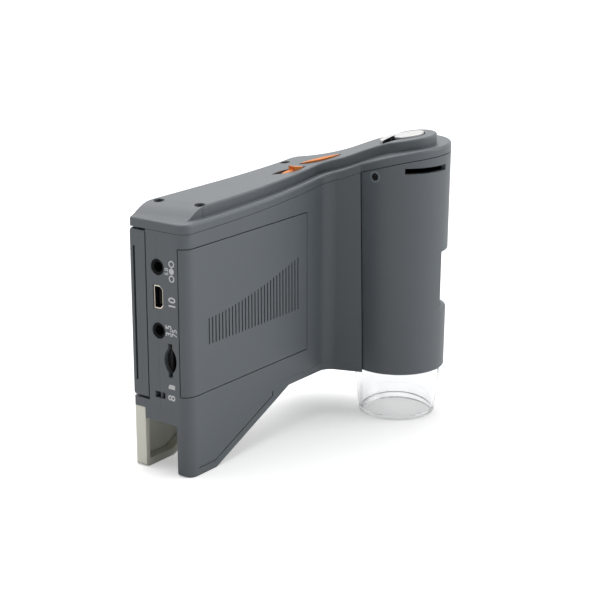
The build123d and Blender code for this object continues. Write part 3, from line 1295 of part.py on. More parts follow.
def shutter_board():
    plane = shutter_plane().offset(-shutter_board_depth() - BOARD_SKIN)
    x, y = polar(SHUTTER_BOARD_WIDTH / 4, SHUTTER_BOARD_TURN)
    plan = Pos(x, y) * Rotation(0, 0, SHUTTER_BOARD_TURN - 90) * Rectangle(SHUTTER_BOARD_LENGTH, SHUTTER_BOARD_WIDTH)
    return extrude(plane * plan, BOARD_SKIN)


# Optics -------------------------------------------------------------------------------------------

def barrel_sleeve():
    """Drafted outer tube, with the focusing window, the vent slot and a screw hole."""
    top = RIM_HIGH + 5
    sleeve = barrel_cone(BARREL_BOTTOM, top) - barrel_cone(BARREL_BOTTOM - 1, top + 1, -BARREL_WALL)
    sleeve = sleeve & below_rim(-COVER_LIP - 2 * COVER_JOINT)
    outside = barrel_radius(FOCUS_MIDDLE) + 2
    inside = barrel_radius(FOCUS_MIDDLE) - BARREL_WALL - 1
    flare = WINDOW_FLARE
    window = make_face(Polyline((inside, WINDOW_LOW), (outside, WINDOW_LOW - flare),
                                (outside, WINDOW_HIGH + flare), (inside, WINDOW_HIGH), close=True))
    sleeve -= turned(window, WINDOW_SWEEP, WINDOW_START)
    slot = make_face(Polyline((inside - 2, VENT_Z), (outside + 3, VENT_Z), (outside + 3, VENT_Z + VENT_HEIGHT),
                              (inside - 2, VENT_Z + VENT_HEIGHT), close=True))
    sleeve -= turned(slot, VENT_SWEEP, VENT_START)
    sleeve += barrel_boss() & barrel_cone(BARREL_BOTTOM, top, -BARREL_WALL / 2)
    return sleeve - barrel_screw(SCREW_HOLE_GAP)


def barrel_boss():
    """Boss inside the barrel, under the screw's head."""
    depth = BARREL_WALL + BARREL_BOSS
    place = Pos(0, 0, BARREL_SCREW_Z) * Rotation(0, 0, BARREL_SCREW_TURN) * \
        Pos(barrel_radius(BARREL_SCREW_Z) - depth, 0, 0) * Rotation(0, 90, 0)
    return on_axis(place * Cylinder(BARREL_BOSS_R, depth, align=(Align.CENTER, Align.CENTER, Align.MIN)))


def spigot_radius():
    return barrel_radius(BARREL_BOTTOM) - BARREL_WALL - TIP_PLAY


def clear_tip():
    """Clear hood that stands on the specimen, with a spigot inside the barrel."""
    top = BARREL_BOTTOM + TIP_SPIGOT
    outer = ThreePointArc((TIP_FOOT_R, 0), (TIP_BULGE_R, BARREL_BOTTOM * TIP_BULGE_HEIGHT), (TIP_TOP_R, BARREL_BOTTOM))
    spigot = spigot_radius()
    rest = Polyline((TIP_TOP_R, BARREL_BOTTOM), (spigot, BARREL_BOTTOM), (spigot, top), (spigot - TIP_WALL, top),
                    (spigot - TIP_WALL, BARREL_BOTTOM), (TIP_FOOT_R - TIP_WALL, TIP_LIP + TIP_LIP_SLOPE),
                    (TIP_BORE_R, TIP_LIP), (TIP_BORE_R, 0), (TIP_FOOT_R, 0))
    return turned(make_face(Wire([*outer.edges(), *rest.edges()])))


def led_board():
    z0 = BARREL_BOTTOM + TIP_SPIGOT + TIP_PLAY
    return tube(BARREL_X, BARREL_Y, z0, spigot_radius(), CARRIAGE_BORE_R - 1, LED_BOARD_THICK)


def leds():
    """White diodes round the lens, pointing down."""
    z0 = BARREL_BOTTOM + TIP_SPIGOT + TIP_PLAY
    found = []
    for i in range(LED_COUNT):
        turn = 2 * pi * (i + 0.5) / LED_COUNT
        x = BARREL_X + LED_CIRCLE_R * cos(turn)
        y = BARREL_Y + LED_CIRCLE_R * sin(turn)
        lamp = rod(x, y, z0 - LED_LENGTH, LED_R, LED_LENGTH)
        found.append(fillet(lamp.edges().sort_by(Axis.Z)[0], LED_R * 0.8))
    return Part() + found


def optics_chassis():
    """Fixed tube that guides the lens carriage and carries the focusing wheel."""
    base = BARREL_BOTTOM + TIP_SPIGOT + TIP_PLAY + LED_BOARD_THICK
    half = WHEEL_HEIGHT / 2
    flange_r = barrel_radius(base) - BARREL_WALL - TIP_PLAY
    chassis = tube(BARREL_X, BARREL_Y, base, flange_r, CARRIAGE_BORE_R, CHASSIS_BASE)
    chassis += tube(BARREL_X, BARREL_Y, base, CHASSIS_R, CHASSIS_BORE_R, CHASSIS_TOP - base)
    chassis += tube(BARREL_X, BARREL_Y, FOCUS_MIDDLE - half - CLIP_GAP - CLIP_THICK, CHASSIS_R + CLIP_WIDTH,
                    CHASSIS_BORE_R, CLIP_THICK)
    top_r = barrel_radius(CHASSIS_TOP) - BARREL_WALL - TIP_PLAY
    chassis += tube(BARREL_X, BARREL_Y, CHASSIS_TOP - CHASSIS_BASE, top_r, CHASSIS_BORE_R, CHASSIS_BASE)
    reach = FOCUS_TRAVEL + FOLLOWER_R + FOLLOWER_PLAY
    width = FOLLOWER_R + FOLLOWER_PLAY
    slot = on_axis(block(0, CHASSIS_R + 1, -width, width, FOCUS_MIDDLE - reach, FOCUS_MIDDLE + reach))
    return chassis - slot


def wheel_clip():
    """Spring ring that keeps the wheel on the chassis."""
    z0 = FOCUS_MIDDLE + WHEEL_HEIGHT / 2 + CLIP_GAP
    ring = tube(BARREL_X, BARREL_Y, z0, CHASSIS_R + CLIP_WIDTH, CHASSIS_R, CLIP_THICK)
    return ring - on_axis(block(-FAR, 0, -CLIP_MOUTH / 2, CLIP_MOUTH / 2, z0 - 1, z0 + CLIP_THICK + 1))


def cam_groove():
    """Helical groove in the wheel's bore that lifts the follower as the wheel turns."""
    sweep_turn = 2 * FOCUS_TURN
    radius = CHASSIS_R + CAM_DEPTH / 2
    lead = 2 * FOCUS_TRAVEL * 360 / sweep_turn
    helix = Helix(pitch=lead, height=2 * FOCUS_TRAVEL, radius=radius, lefthand=True)
    width = 2 * (FOLLOWER_R + FOLLOWER_PLAY)
    start = Plane(origin=helix @ 0, x_dir=(1, 0, 0), z_dir=helix % 0)
    groove = sweep(start * Rectangle(CAM_DEPTH, width), path=helix, is_frenet=True)
    groove = Rotation(0, 0, FOCUS_TURN) * Pos(0, 0, FOCUS_MIDDLE - FOCUS_TRAVEL) * groove
    for side in (-1, 1):
        end = Rotation(0, 90, 0) * Cylinder(width / 2, CAM_DEPTH)
        groove += Rotation(0, 0, -side * FOCUS_TURN) * Pos(radius, 0, FOCUS_MIDDLE + side * FOCUS_TRAVEL) * end
    return on_axis(groove)


def focus_wheel():
    """Ribbed wheel whose bore holds the helical cam groove."""
    half = WHEEL_HEIGHT / 2
    wheel = tube(BARREL_X, BARREL_Y, FOCUS_MIDDLE - half, WHEEL_R, CHASSIS_R + WHEEL_PLAY, WHEEL_HEIGHT)
    ribs = []
    for i in range(WHEEL_RIBS):
        x, y = polar(WHEEL_R, 360 * i / WHEEL_RIBS)
        ribs.append(rod(BARREL_X + x, BARREL_Y + y, FOCUS_MIDDLE - half - 1, WHEEL_RIB_R, WHEEL_HEIGHT + 2))
    return wheel - ribs - cam_groove()


def lens_carriage():
    """Sliding lens tube with the follower pin that rides in the wheel's groove."""
    z0 = FOCUS_MIDDLE - CARRIAGE_LENGTH / 2
    radius = CHASSIS_BORE_R - CARRIAGE_PLAY
    bore = tube(BARREL_X, BARREL_Y, z0, radius, CARRIAGE_BORE_R, CARRIAGE_LENGTH)
    start = (radius + CARRIAGE_BORE_R) / 2
    return bore + rod(BARREL_X + start, BARREL_Y, FOCUS_MIDDLE, FOLLOWER_R, CHASSIS_R + FOLLOWER_REACH - start, "x")


def lens(z, radius, up):
    """A lens with one crowned face."""
    crown_r = (radius ** 2 + LENS_CROWN ** 2) / (2 * LENS_CROWN)
    glass = Cylinder(radius, LENS_EDGE + LENS_CROWN, align=(Align.CENTER, Align.CENTER, Align.MIN))
    ball = Pos(0, 0, LENS_EDGE + LENS_CROWN - crown_r) * Sphere(crown_r)
    glass = glass & ball
    return on_axis(Pos(0, 0, z) * (glass if up else Rotation(180, 0, 0) * glass))


def objective_lens():
    """The lower lens, crowned towards the specimen."""
    return lens(FOCUS_MIDDLE - CARRIAGE_LENGTH / 2 + LENS_SET + LENS_EDGE + LENS_CROWN, CARRIAGE_BORE_R, False)


def rear_lens():
    """The upper lens, crowned towards the sensor."""
    return lens(FOCUS_MIDDLE + CARRIAGE_LENGTH / 2 - LENS_SET - LENS_EDGE - LENS_CROWN, CARRIAGE_BORE_R, True)


def sensor_board():
    z0 = CHASSIS_TOP
    half = SENSOR_BOARD / 2
    return on_axis(block(-half, half, -half, half, z0, z0 + LED_BOARD_THICK))


def image_sensor():
    half = SENSOR_SIZE / 2
    return on_axis(block(-half, half, -half, half, CHASSIS_TOP - SENSOR_THICK, CHASSIS_TOP))


# Assembly -----------------------------------------------------------------------------------------

def all_parts():
    parts = {
        "rear_shell": rear_shell(),
        "front_shell": front_shell(),
        "bottom_cover": bottom_cover(),
        "front_leg": front_leg(),
        "top_cover": top_cover(),
        "barrel_sleeve": barrel_sleeve(),
        "battery_door": battery_door(),
        "battery_pack": battery_pack(),
        "battery_contacts": battery_contacts(),
        "main_board": main_board(),
        "dc_jack": dc_jack(),
        "av_jack": av_jack(),
        "usb_socket": usb_socket(),
        "card_socket": card_socket(),
        "lanyard_bar": lanyard_bar(),
        "key_switches": key_switches(),
        "lcd_back_shell": lcd_back_shell(),
        "lcd_bezel": lcd_bezel(),
        "lcd_window": lcd_window(),
        "lcd_module": lcd_module(),
        "hinge_block": hinge_block(),
        "hinge_pin": hinge_pin(),
        "cover_screws": cover_screws(),
        "barrel_screw": barrel_screw(),
        "control_board": control_board(),
        "control_switches": control_switches(),
        "power_switch": power_switch(),
        "power_lever": power_lever(),
        "shutter_board": shutter_board(),
        "crescent_trim": crescent_trim(),
        "power_slider": power_slider(),
        "zoom_rocker": zoom_rocker(),
        "shutter_button": shutter_button(),
        "clear_tip": clear_tip(),
        "led_board": led_board(),
        "leds": leds(),
        "optics_chassis": optics_chassis(),
        "wheel_clip": wheel_clip(),
        "focus_wheel": focus_wheel(),
        "lens_carriage": lens_carriage(),
        "objective_lens": objective_lens(),
        "rear_lens": rear_lens(),
        "sensor_board": sensor_board(),
        "image_sensor": image_sensor(),
    }
    for name, x, z in key_places():
        parts[name] = key(x, z)
    return parts


def main():
    parts = all_parts()
    box = Compound(children=[Part() + piece for piece in parts.values()]).bounding_box()
    shift = Pos(-(box.min.X + box.max.X) / 2, -(box.min.Y + box.max.Y) / 2, 0)
    for name, piece in parts.items():
        export_step(shift * piece, f"parts/{name}.step")
    print("moved by", shift.position, "size", box.size)


main()
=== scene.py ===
"""Finishes, small fittings, printed marks and studio for a hand-held digital microscope."""

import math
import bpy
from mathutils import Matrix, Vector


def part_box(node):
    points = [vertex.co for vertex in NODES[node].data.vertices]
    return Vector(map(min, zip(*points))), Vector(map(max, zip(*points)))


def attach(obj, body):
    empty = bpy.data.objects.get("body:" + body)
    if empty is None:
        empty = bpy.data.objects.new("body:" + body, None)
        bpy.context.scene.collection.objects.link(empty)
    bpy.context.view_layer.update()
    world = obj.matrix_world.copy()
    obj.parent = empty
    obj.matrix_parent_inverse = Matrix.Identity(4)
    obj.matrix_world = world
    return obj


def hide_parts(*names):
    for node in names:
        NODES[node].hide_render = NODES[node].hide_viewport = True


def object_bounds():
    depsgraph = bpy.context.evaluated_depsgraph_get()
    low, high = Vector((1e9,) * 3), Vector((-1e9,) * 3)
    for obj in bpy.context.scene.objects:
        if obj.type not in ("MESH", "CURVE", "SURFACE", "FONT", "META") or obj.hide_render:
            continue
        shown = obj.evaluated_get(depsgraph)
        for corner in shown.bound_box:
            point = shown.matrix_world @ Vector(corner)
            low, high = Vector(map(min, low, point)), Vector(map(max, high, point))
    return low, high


bl_info = {
    "name": "Handheld microscope finish",
    "version": (1, 0, 0),
    "blender": (4, 5, 0),
    "location": "3D View > Sidebar > Microscope",
    "description": "Finishes, small fittings, printed marks and studio for a hand-held digital microscope",
    "category": "Object",
}

import bmesh
import bpy
from bpy.props import FloatProperty, FloatVectorProperty, PointerProperty
from mathutils import Matrix, Vector
from mathutils.bvhtree import BVHTree

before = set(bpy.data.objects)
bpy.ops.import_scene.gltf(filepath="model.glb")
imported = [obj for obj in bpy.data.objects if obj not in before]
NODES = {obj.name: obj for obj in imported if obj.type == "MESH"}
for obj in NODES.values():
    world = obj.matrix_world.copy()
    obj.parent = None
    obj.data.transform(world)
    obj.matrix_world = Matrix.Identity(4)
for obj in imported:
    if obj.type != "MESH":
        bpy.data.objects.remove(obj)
CAD_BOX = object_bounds()

MM = 0.001

# Sizes are in millimetres and turns in degrees. Places are counted from the housing's corner, as
# CORNER says below.

# Housing and barrel
BODY_DEPTH = 23.5            # battery door face to screen face
PARTING_Y = BODY_DEPTH / 2   # the joint between the two shells, where the sockets sit
BARREL_X, BARREL_Y = 95.8, -16.9
BARREL_BOTTOM = 18.2
BARREL_R = 16.55             # at its lower end
BARREL_DRAFT = 0.6
BARREL_WALL = 1.8

# Clear hood: points of radius and height
HOOD_BEAD = ((12.9, 0.0), (13.5, 0.6), (13.3, 1.7))            # arc of the rounded foot
HOOD_SIDE = ((13.5, 1.8), (14.6, 8.0), (15.0, BARREL_BOTTOM))  # arc of the bulged side
HOOD_FOOT = ((12.5, 2.0), (12.1, 0.5), (12.0, 0.2), (12.15, 0.0))
HOOD_SPIGOT = 3.8            # length inside the barrel
HOOD_WALL = 1.8
HOOD_PLAY = 0.1              # round the spigot
BEAD_STEPS, SIDE_STEPS = 8, 24

# Shutter button, painted shade in the gap round it and the pit inside the crescent; heights are counted
# from the deck
BUTTON_X, BUTTON_Y = 94.6, -21.0
BUTTON_RISE = 0.5            # its top above the deck
GAP_R = 5.47                 # wall of the button's well
# Thickness of the ring of painted shade on the well's wall
GAP_SHADE_THICK = 0.05
GAP_FLOOR, GAP_HEIGHT = -1.3, 1.25
PIT_ARC = ((6.1, 55.0), (6.9, 125.0), (10.4, 150.0))           # the crescent's inside: radius and turn
PIT_ARC_STEPS = 16
PIT_SHADE_INSETS = (0.02, 0.07)    # where the wall of painted shade begins and ends inside that arc
PIT_WALL_FOOT, PIT_WALL_HEIGHT = -0.98, 1.2
PIT_CORNERS = ((10.0, 151.0), (6.75, 126.0), (5.6, 60.0), (5.6, 174.0))
PIT_FLOOR, PIT_FLOOR_THICK = -1.29, 0.04

# Mini socket: the inside of its shell, and what fills it
SOCKET_Z = 59.6
SOCKET_HALF_Y, SOCKET_HALF_Z = 1.6, 3.5
SOCKET_CORNER = 0.965        # its two cut corners
SLEEVE_OUTSIDE = (0.98, 0.99)                                  # shares of the half sizes
SLEEVE_INSIDE = (0.93, 0.96)
SLEEVE_START, SLEEVE_LENGTH = 0.5, 2.7
SOCKET_FLOOR = 0.2
TONGUE_X, TONGUE_Y, TONGUE_HALF_Z = (1.25, 3.3), (-0.62, 0.42), 2.5
CONTACT_X, CONTACT_Y, CONTACT_HALF_Z = (1.3, 3.3), (-0.75, -0.6), 0.16
CONTACT_STEP = 0.8

# Screws
HEAD_HEIGHT = 1.1
HEAD_PROFILE = ((1.0, 0.0), (1.0, 0.7), (0.86, 0.95))          # shares of the head's radius and height
RECESS_ARM, RECESS_HALF = 0.62, 0.17                           # length and half width, by the head's radius
RECESS_TAPER, RECESS_FLOOR = 0.55, 0.45                        # how far it narrows, and its floor's height
SHANK_R = 0.7
SHANK_TIP = 0.4              # share of the shank's radius
# Painted shade round the cover's screw holes: outer radius, hole and thickness of a black ring
COVER_SHADE_R, COVER_SHADE_HOLE, COVER_SHADE_THICK = 1.75, 1.36, 0.03
BARREL_SCREW_Z = 88.6
BARREL_SCREW_TURN = -177.0
BARREL_SCREW_LENGTH = 3.6
BARREL_HEAD_R = 1.2
BARREL_SEAT = 1.15           # seat of the head behind its outermost point
BARREL_RIM_R, BARREL_RIM_HOLE, BARREL_RIM_THICK = 2.0, 1.4, 0.02

# Marks on the end wall: name, words, y, z and share of the larger numbers' height
WALL_NUMBERS = (
    ("supply_number", "5.0", 7.85, 68.7, 0.62),
    ("mini_socket_number", "10", 5.8, 58.6, 1.2),
    ("video_number", "3.5", 7.5, 49.2, 1.0),
    ("video_second_number", "75", 5.1, 48.8, 0.85),
    ("card_number", "8", 6.8, 26.6, 1.25),
)
DIGIT_SHARE = 0.73           # a digit's height as a share of its font size
DIGIT_WEIGHT = 0.018         # how much a digit is thickened, as a share of its font size
SUPPLY_SIGN_Y, SUPPLY_SIGN_Z = 5.85, 69.0
SUPPLY_SIGN_STEP = 2.4       # dot to ring
SUPPLY_BAR_LENGTH, SUPPLY_BAR_HALF = 0.55, 0.15
SUPPLY_BAR_STARTS = (-1.35, 0.85)                              # from the dot's middle
RING_R, RING_HOLE, DOT_R = 1.15, 0.75, 1.0
CARD_SIGN_Y, CARD_SIGN_Z = 6.8, 29.6
CARD_SIGN = ((0, -1.35), (1.5, -1.35), (1.5, 0.75), (0.95, 1.35), (0, 1.35))

# Marks on the keys
ARROW = ((-0.9, -1.0), (1.1, 0.0), (-0.9, 1.0))
BAR = ((-1.2, -0.22), (1.2, -0.22), (1.2, 0.22), (-1.2, 0.22))
BAR_STEP = 0.85

# Battery film and display
BAND_Z, BAND_HALF = 65.5, 1.6
WRINKLE_SCALE = 260.0        # per metre
CELL_SCALE = 9000.0          # per metre

# Fineness of round shapes, and the edges that stay sharp
DISC_SIDES, HEAD_SIDES, LATHE_SIDES = 40, 24, 128
SHARP_ANGLE = 35.0
LEVEL_FACE = 0.9             # least upward part of the normal of a face that counts as level
WELD_GAP = 1e-6              # metres

# Studio: the floor in metres, the lamps' ways and apparent sizes, and the camera
FLOOR_HALF = 6.0
OVERHEAD_WAY, OVERHEAD_SPREAD = (-0.15, -0.3, -1.0), 75.0
FRONT_WAY, FRONT_SPREAD = (-0.6, 1.0, -0.4), 50.0
CAMERA_PLACE = (-371.83, -319.12, 207.31)
CAMERA_RIGHT = (0.59438, -0.80419, 0.0)
CAMERA_UP = (0.23095, 0.17069, 0.95788)
CAMERA_FORWARD = (0.77027, 0.56940, -0.28718)
SENSOR_WIDTH = 36.0

# Colours and refraction that belong to a material
TINNED_PAD = (0.72, 0.68, 0.55)
BATTERY_BAND = (0.45, 0.45, 0.43)
LENS_COATING = (0.72, 0.62, 0.95)
LENS_IOR = 1.52
WINDOW_IOR = 1.5

# Sockets of Blender's colour mix: its first and second colour, and its result
MIX_FIRST, MIX_SECOND, MIX_RESULT = 6, 7, 2

# The corner that the housing is drawn from: socket end, battery door face, table.
CORNER = Vector((CAD_BOX[0].x, CAD_BOX[1].y - BODY_DEPTH * MM, 0.0))


def place(x, y, z):
    """A point given in millimetres from the housing's corner, in the row frame."""
    return CORNER + Vector((x, y, z)) * MM


def polar(radius, turn):
    """A point in a plane, from a radius and a turn in degrees."""
    return Vector((radius * math.cos(math.radians(turn)), radius * math.sin(math.radians(turn))))


def arc_through(start, middle, end, steps):
    """Evenly turned points of the arc that passes three points."""
    a, b = middle - start, end - start
    cross = 2 * (a.x * b.y - a.y * b.x)
    centre = start + Vector((b.y * a.dot(a) - a.y * b.dot(b), a.x * b.dot(b) - b.x * a.dot(a))) / cross
    first, last = (math.atan2(p.y - centre.y, p.x - centre.x) for p in (start, end))
    way = math.copysign(1.0, cross)
    sweep = ((last - first) * way) % (2 * math.pi) * way
    radius = (start - centre).length
    turns = [first + sweep * i / steps for i in range(steps + 1)]
    return [centre + radius * Vector((math.cos(turn), math.sin(turn))) for turn in turns]


# Shader helpers -----------------------------------------------------------------------------------

class Graph:
    """Adds nodes to one node tree and joins them."""

    def __init__(self, tree):
        self.tree = tree
        tree.nodes.clear()

    def add(self, kind, inputs=None, **settings):
        """A new node; each of its inputs is given a socket or a steady value."""
        node = self.tree.nodes.new(kind)
        for name, value in settings.items():
            setattr(node, name, value)
        for name, value in (inputs or {}).items():
            if isinstance(value, bpy.types.NodeSocket):
                self.tree.links.new(value, node.inputs[name])
            else:
                node.inputs[name].default_value = value
        return node

    def join(self, source, target):
        """Joins an output to an input."""
        self.tree.links.new(source, target)

    def feed(self, node, **sources):
        """Joins a source to each named input of a node."""
        for name, source in sources.items():
            self.join(source, node.inputs[name.replace("_", " ")])

    def sum_up(self, operation, a, b=0.0, clamp=False):
        """One arithmetic step; each side is a socket or a number."""
        node = self.add("ShaderNodeMath", operation=operation, use_clamp=clamp)
        for socket, value in zip(node.inputs, (a, b)):
            if isinstance(value, bpy.types.NodeSocket):
                self.join(value, socket)
            else:
                socket.default_value = value
        return node.outputs[0]

    def blend(self, mask, low, high):
        """A colour that goes from low to high with a mask; each is a socket or a colour."""
        node = self.add("ShaderNodeMix", data_type="RGBA")
        self.join(mask, node.inputs["Factor"])
        for index, value in ((MIX_FIRST, low), (MIX_SECOND, high)):
            if isinstance(value, bpy.types.NodeSocket):
                self.join(value, node.inputs[index])
            else:
                node.inputs[index].default_value = (*value[:3], 1.0)
        return node.outputs[MIX_RESULT]

    def spread(self, value, low, high):
        """A mask of 0..1 stretched to run from low to high."""
        node = self.add("ShaderNodeMapRange", {"To Min": low, "To Max": high})
        self.join(value, node.inputs["Value"])
        return node.outputs[0]


def new_group(name, inputs, outputs):
    """An empty shader node group with named sockets."""
    tree = bpy.data.node_groups.new(name, "ShaderNodeTree")
    for label, default in inputs:
        socket = tree.interface.new_socket(label, in_out="INPUT", socket_type="NodeSocketFloat")
        socket.default_value = default
    for label, kind in outputs:
        tree.interface.new_socket(label, in_out="OUTPUT", socket_type=kind)
    graph = Graph(tree)
    return graph, graph.add("NodeGroupInput"), graph.add("NodeGroupOutput")


def moulded_grain_group():
    """The fine spark-eroded texture of a moulding, and the slow unevenness of its tone."""
    graph, given, out = new_group(
        "moulded_grain",
        [("Grain Size", 0.00028), ("Patch Size", 0.018)],
        [("Height", "NodeSocketFloat"), ("Tone", "NodeSocketFloat")])
    where = graph.add("ShaderNodeTexCoord").outputs["Object"]
    fine = graph.add("ShaderNodeTexNoise", {"Vector": where, "Detail": 3.0, "Roughness": 0.6})
    graph.join(graph.sum_up("DIVIDE", 1.0, given.outputs["Grain Size"]), fine.inputs["Scale"])
    patch = graph.add("ShaderNodeTexNoise", {"Vector": where, "Detail": 2.0})
    graph.join(graph.sum_up("DIVIDE", 1.0, given.outputs["Patch Size"]), patch.inputs["Scale"])
    fine_share, patch_share = 0.45, 0.55
    tone = graph.sum_up("ADD", graph.sum_up("MULTIPLY", fine.outputs["Fac"], fine_share),
                        graph.sum_up("MULTIPLY", patch.outputs["Fac"], patch_share))
    graph.join(fine.outputs["Fac"], out.inputs["Height"])
    graph.join(tone, out.inputs["Tone"])
    return graph.tree


def soft_edge_group():
    """Rounds the look of an edge, and marks where it is."""
    graph, given, out = new_group(
        "soft_edge", [("Width", 0.0003)],
        [("Normal", "NodeSocketVector"), ("Edge", "NodeSocketFloat")])
    round_off = graph.add("ShaderNodeBevel", samples=4)
    graph.join(given.outputs["Width"], round_off.inputs["Radius"])
    surface = graph.add("ShaderNodeNewGeometry")
    facing = graph.add("ShaderNodeVectorMath", operation="DOT_PRODUCT")
    graph.join(round_off.outputs[0], facing.inputs[0])
    graph.join(surface.outputs["Normal"], facing.inputs[1])
    away, gain = graph.sum_up("SUBTRACT", 1.0, facing.outputs["Value"]), 4.0
    graph.join(round_off.outputs[0], out.inputs["Normal"])
    graph.join(graph.sum_up("MULTIPLY", away, gain, clamp=True), out.inputs["Edge"])
    return graph.tree


def seam_shade_group():
    """Marks the walls of narrow seams, slots and corners, where shade falls, for painted shade."""
    graph, given, out = new_group("painted_seam_shade", [("Reach", 0.0012)], [("Depth", "NodeSocketFloat")])
    open_sky = graph.add("ShaderNodeAmbientOcclusion", samples=6)
    graph.join(given.outputs["Reach"], open_sky.inputs["Distance"])
    depth = graph.add("ShaderNodeMapRange", {"From Min": 0.62, "From Max": 0.15})
    graph.join(open_sky.outputs["AO"], depth.inputs["Value"])
    graph.join(depth.outputs[0], out.inputs["Depth"])
    return graph.tree


def circuit_group():
    """Tracks and pads of a printed circuit board, seen through its mask."""
    graph, given, out = new_group(
        "circuit_pattern", [("Pitch", 0.0016)],
        [("Track", "NodeSocketFloat"), ("Pad", "NodeSocketFloat")])
    where = graph.add("ShaderNodeTexCoord").outputs["Object"]
    finer = graph.add("ShaderNodeVectorMath", {"Vector": where}, operation="SCALE")
    graph.join(graph.sum_up("DIVIDE", 1.0, given.outputs["Pitch"]), finer.inputs["Scale"])
    cells = graph.add("ShaderNodeTexVoronoi", {"Scale": 0.6, "Randomness": 0.55},
                      distance="CHEBYCHEV")
    graph.join(finer.outputs["Vector"], cells.inputs["Vector"])
    rings_per_cell, track_from, pad_reach = 4.0, 0.68, 0.09
    ridges = graph.sum_up("FRACT", graph.sum_up("MULTIPLY", cells.outputs["Distance"], rings_per_cell))
    track = graph.sum_up("GREATER_THAN", ridges, track_from)
    pad = graph.sum_up("LESS_THAN", cells.outputs["Distance"], pad_reach)
    graph.join(track, out.inputs["Track"])
    graph.join(pad, out.inputs["Pad"])
    return graph.tree


def brushed_group():
    """Fine drawn lines of sheet metal."""
    graph, given, out = new_group(
        "drawn_lines", [("Line Width", 0.00012)], [("Height", "NodeSocketFloat")])
    where = graph.add("ShaderNodeTexCoord").outputs["Object"]
    stretched = graph.add("ShaderNodeMapping", {"Vector": where})
    stretched.inputs["Scale"].default_value = (0.04, 1.0, 1.0)
    lines = graph.add("ShaderNodeTexNoise", {"Detail": 2.0})
    graph.join(stretched.outputs["Vector"], lines.inputs["Vector"])
    graph.join(graph.sum_up("DIVIDE", 1.0, given.outputs["Line Width"]), lines.inputs["Scale"])
    graph.join(lines.outputs["Fac"], out.inputs["Height"])
    return graph.tree


EFFECTS = {
    "moulded_grain": moulded_grain_group(),
    "soft_edge": soft_edge_group(),
    "painted_seam_shade": seam_shade_group(),
    "circuit_pattern": circuit_group(),
    "drawn_lines": brushed_group(),
}


def effect(graph, name, **values):
    """Places one of the shared effects in a material, with its own values."""
    node = graph.add("ShaderNodeGroup", node_tree=EFFECTS[name])
    for label, value in values.items():
        node.inputs[label.replace("_", " ")].default_value = value
    return node


def new_material(name, steady=None):
    """A material with its graph and its one surface shader, with that shader's steady values."""
    material = bpy.data.materials.new(name)
    material.use_nodes = True
    graph = Graph(material.node_tree)
    surface = graph.add("ShaderNodeBsdfPrincipled", steady)
    graph.join(surface.outputs[0], graph.add("ShaderNodeOutputMaterial").inputs["Surface"])
    return material, graph, surface


def bump(graph, height, strength, depth, normal=None):
    """A normal that follows a height; depth is in metres."""
    node = graph.add("ShaderNodeBump", {"Strength": strength, "Distance": depth, "Height": height})
    if normal is not None:
        graph.join(normal, node.inputs["Normal"])
    return node.outputs[0]


def shade(colour, amount):
    """A colour made lighter (above 1) or darker (below 1)."""
    return tuple(min(1.0, part * amount) for part in colour[:3])


def moulded(name, colour, roughness, grain=0.00028, edge=0.0003, lift=1.25, gloss=0.5):
    """Moulded plastic: fine grain, uneven tone, painted shade in seams and slots, and a painted highlight
    along its edges.
    """
    material, graph, surface = new_material(name, {"Specular IOR Level": gloss})
    texture = effect(graph, "moulded_grain", Grain_Size=grain)
    soft = effect(graph, "soft_edge", Width=edge)
    seam = effect(graph, "painted_seam_shade", Reach=0.0012)
    tone = graph.blend(texture.outputs["Tone"], shade(colour, 0.93), shade(colour, 1.07))
    # Painted highlight: the colour is made lighter by lift along edges, where rounded edges would catch the
    # light.
    edge_highlighted = graph.blend(soft.outputs["Edge"], tone, shade(colour, lift))
    graph.feed(
        surface,
        # Painted shade: the colour darkens to 0.12 of itself on the walls of seams, slots and inside
        # corners.
        Base_Color=graph.blend(seam.outputs["Depth"], edge_highlighted, shade(colour, 0.12)),
        Roughness=graph.spread(texture.outputs["Tone"], roughness - 0.05, roughness + 0.05),
        Normal=bump(graph, texture.outputs["Height"], strength=0.35, depth=0.00002,
                    normal=soft.outputs["Normal"]))
    return material


def glossy(name, colour, roughness, coat, gloss=0.5):
    """Smooth, lightly polished plastic."""
    material, graph, surface = new_material(
        name, {"Coat Weight": coat, "Coat Roughness": 0.15, "Specular IOR Level": gloss})
    texture = effect(graph, "moulded_grain", Grain_Size=0.0006, Patch_Size=0.006)
    soft = effect(graph, "soft_edge", Width=0.0002)
    graph.feed(
        surface,
        Base_Color=graph.blend(texture.outputs["Tone"], shade(colour, 0.95), shade(colour, 1.05)),
        Roughness=graph.spread(texture.outputs["Tone"], roughness - 0.04, roughness + 0.04),
        Normal=bump(graph, texture.outputs["Height"], strength=0.1, depth=0.00001,
                    normal=soft.outputs["Normal"]))
    return material


def metal(name, colour, roughness, metallic=1.0):
    """Bright metal with fine drawn lines."""
    material, graph, surface = new_material(name, {"Metallic": metallic})
    drawn = effect(graph, "drawn_lines", Line_Width=0.00012)
    soft = effect(graph, "soft_edge", Width=0.00015)
    graph.feed(
        surface,
        Base_Color=graph.blend(drawn.outputs["Height"], shade(colour, 0.9), shade(colour, 1.05)),
        Roughness=graph.spread(drawn.outputs["Height"], roughness - 0.06, roughness + 0.06),
        Normal=bump(graph, drawn.outputs["Height"], strength=0.15, depth=0.00001,
                    normal=soft.outputs["Normal"]))
    return material


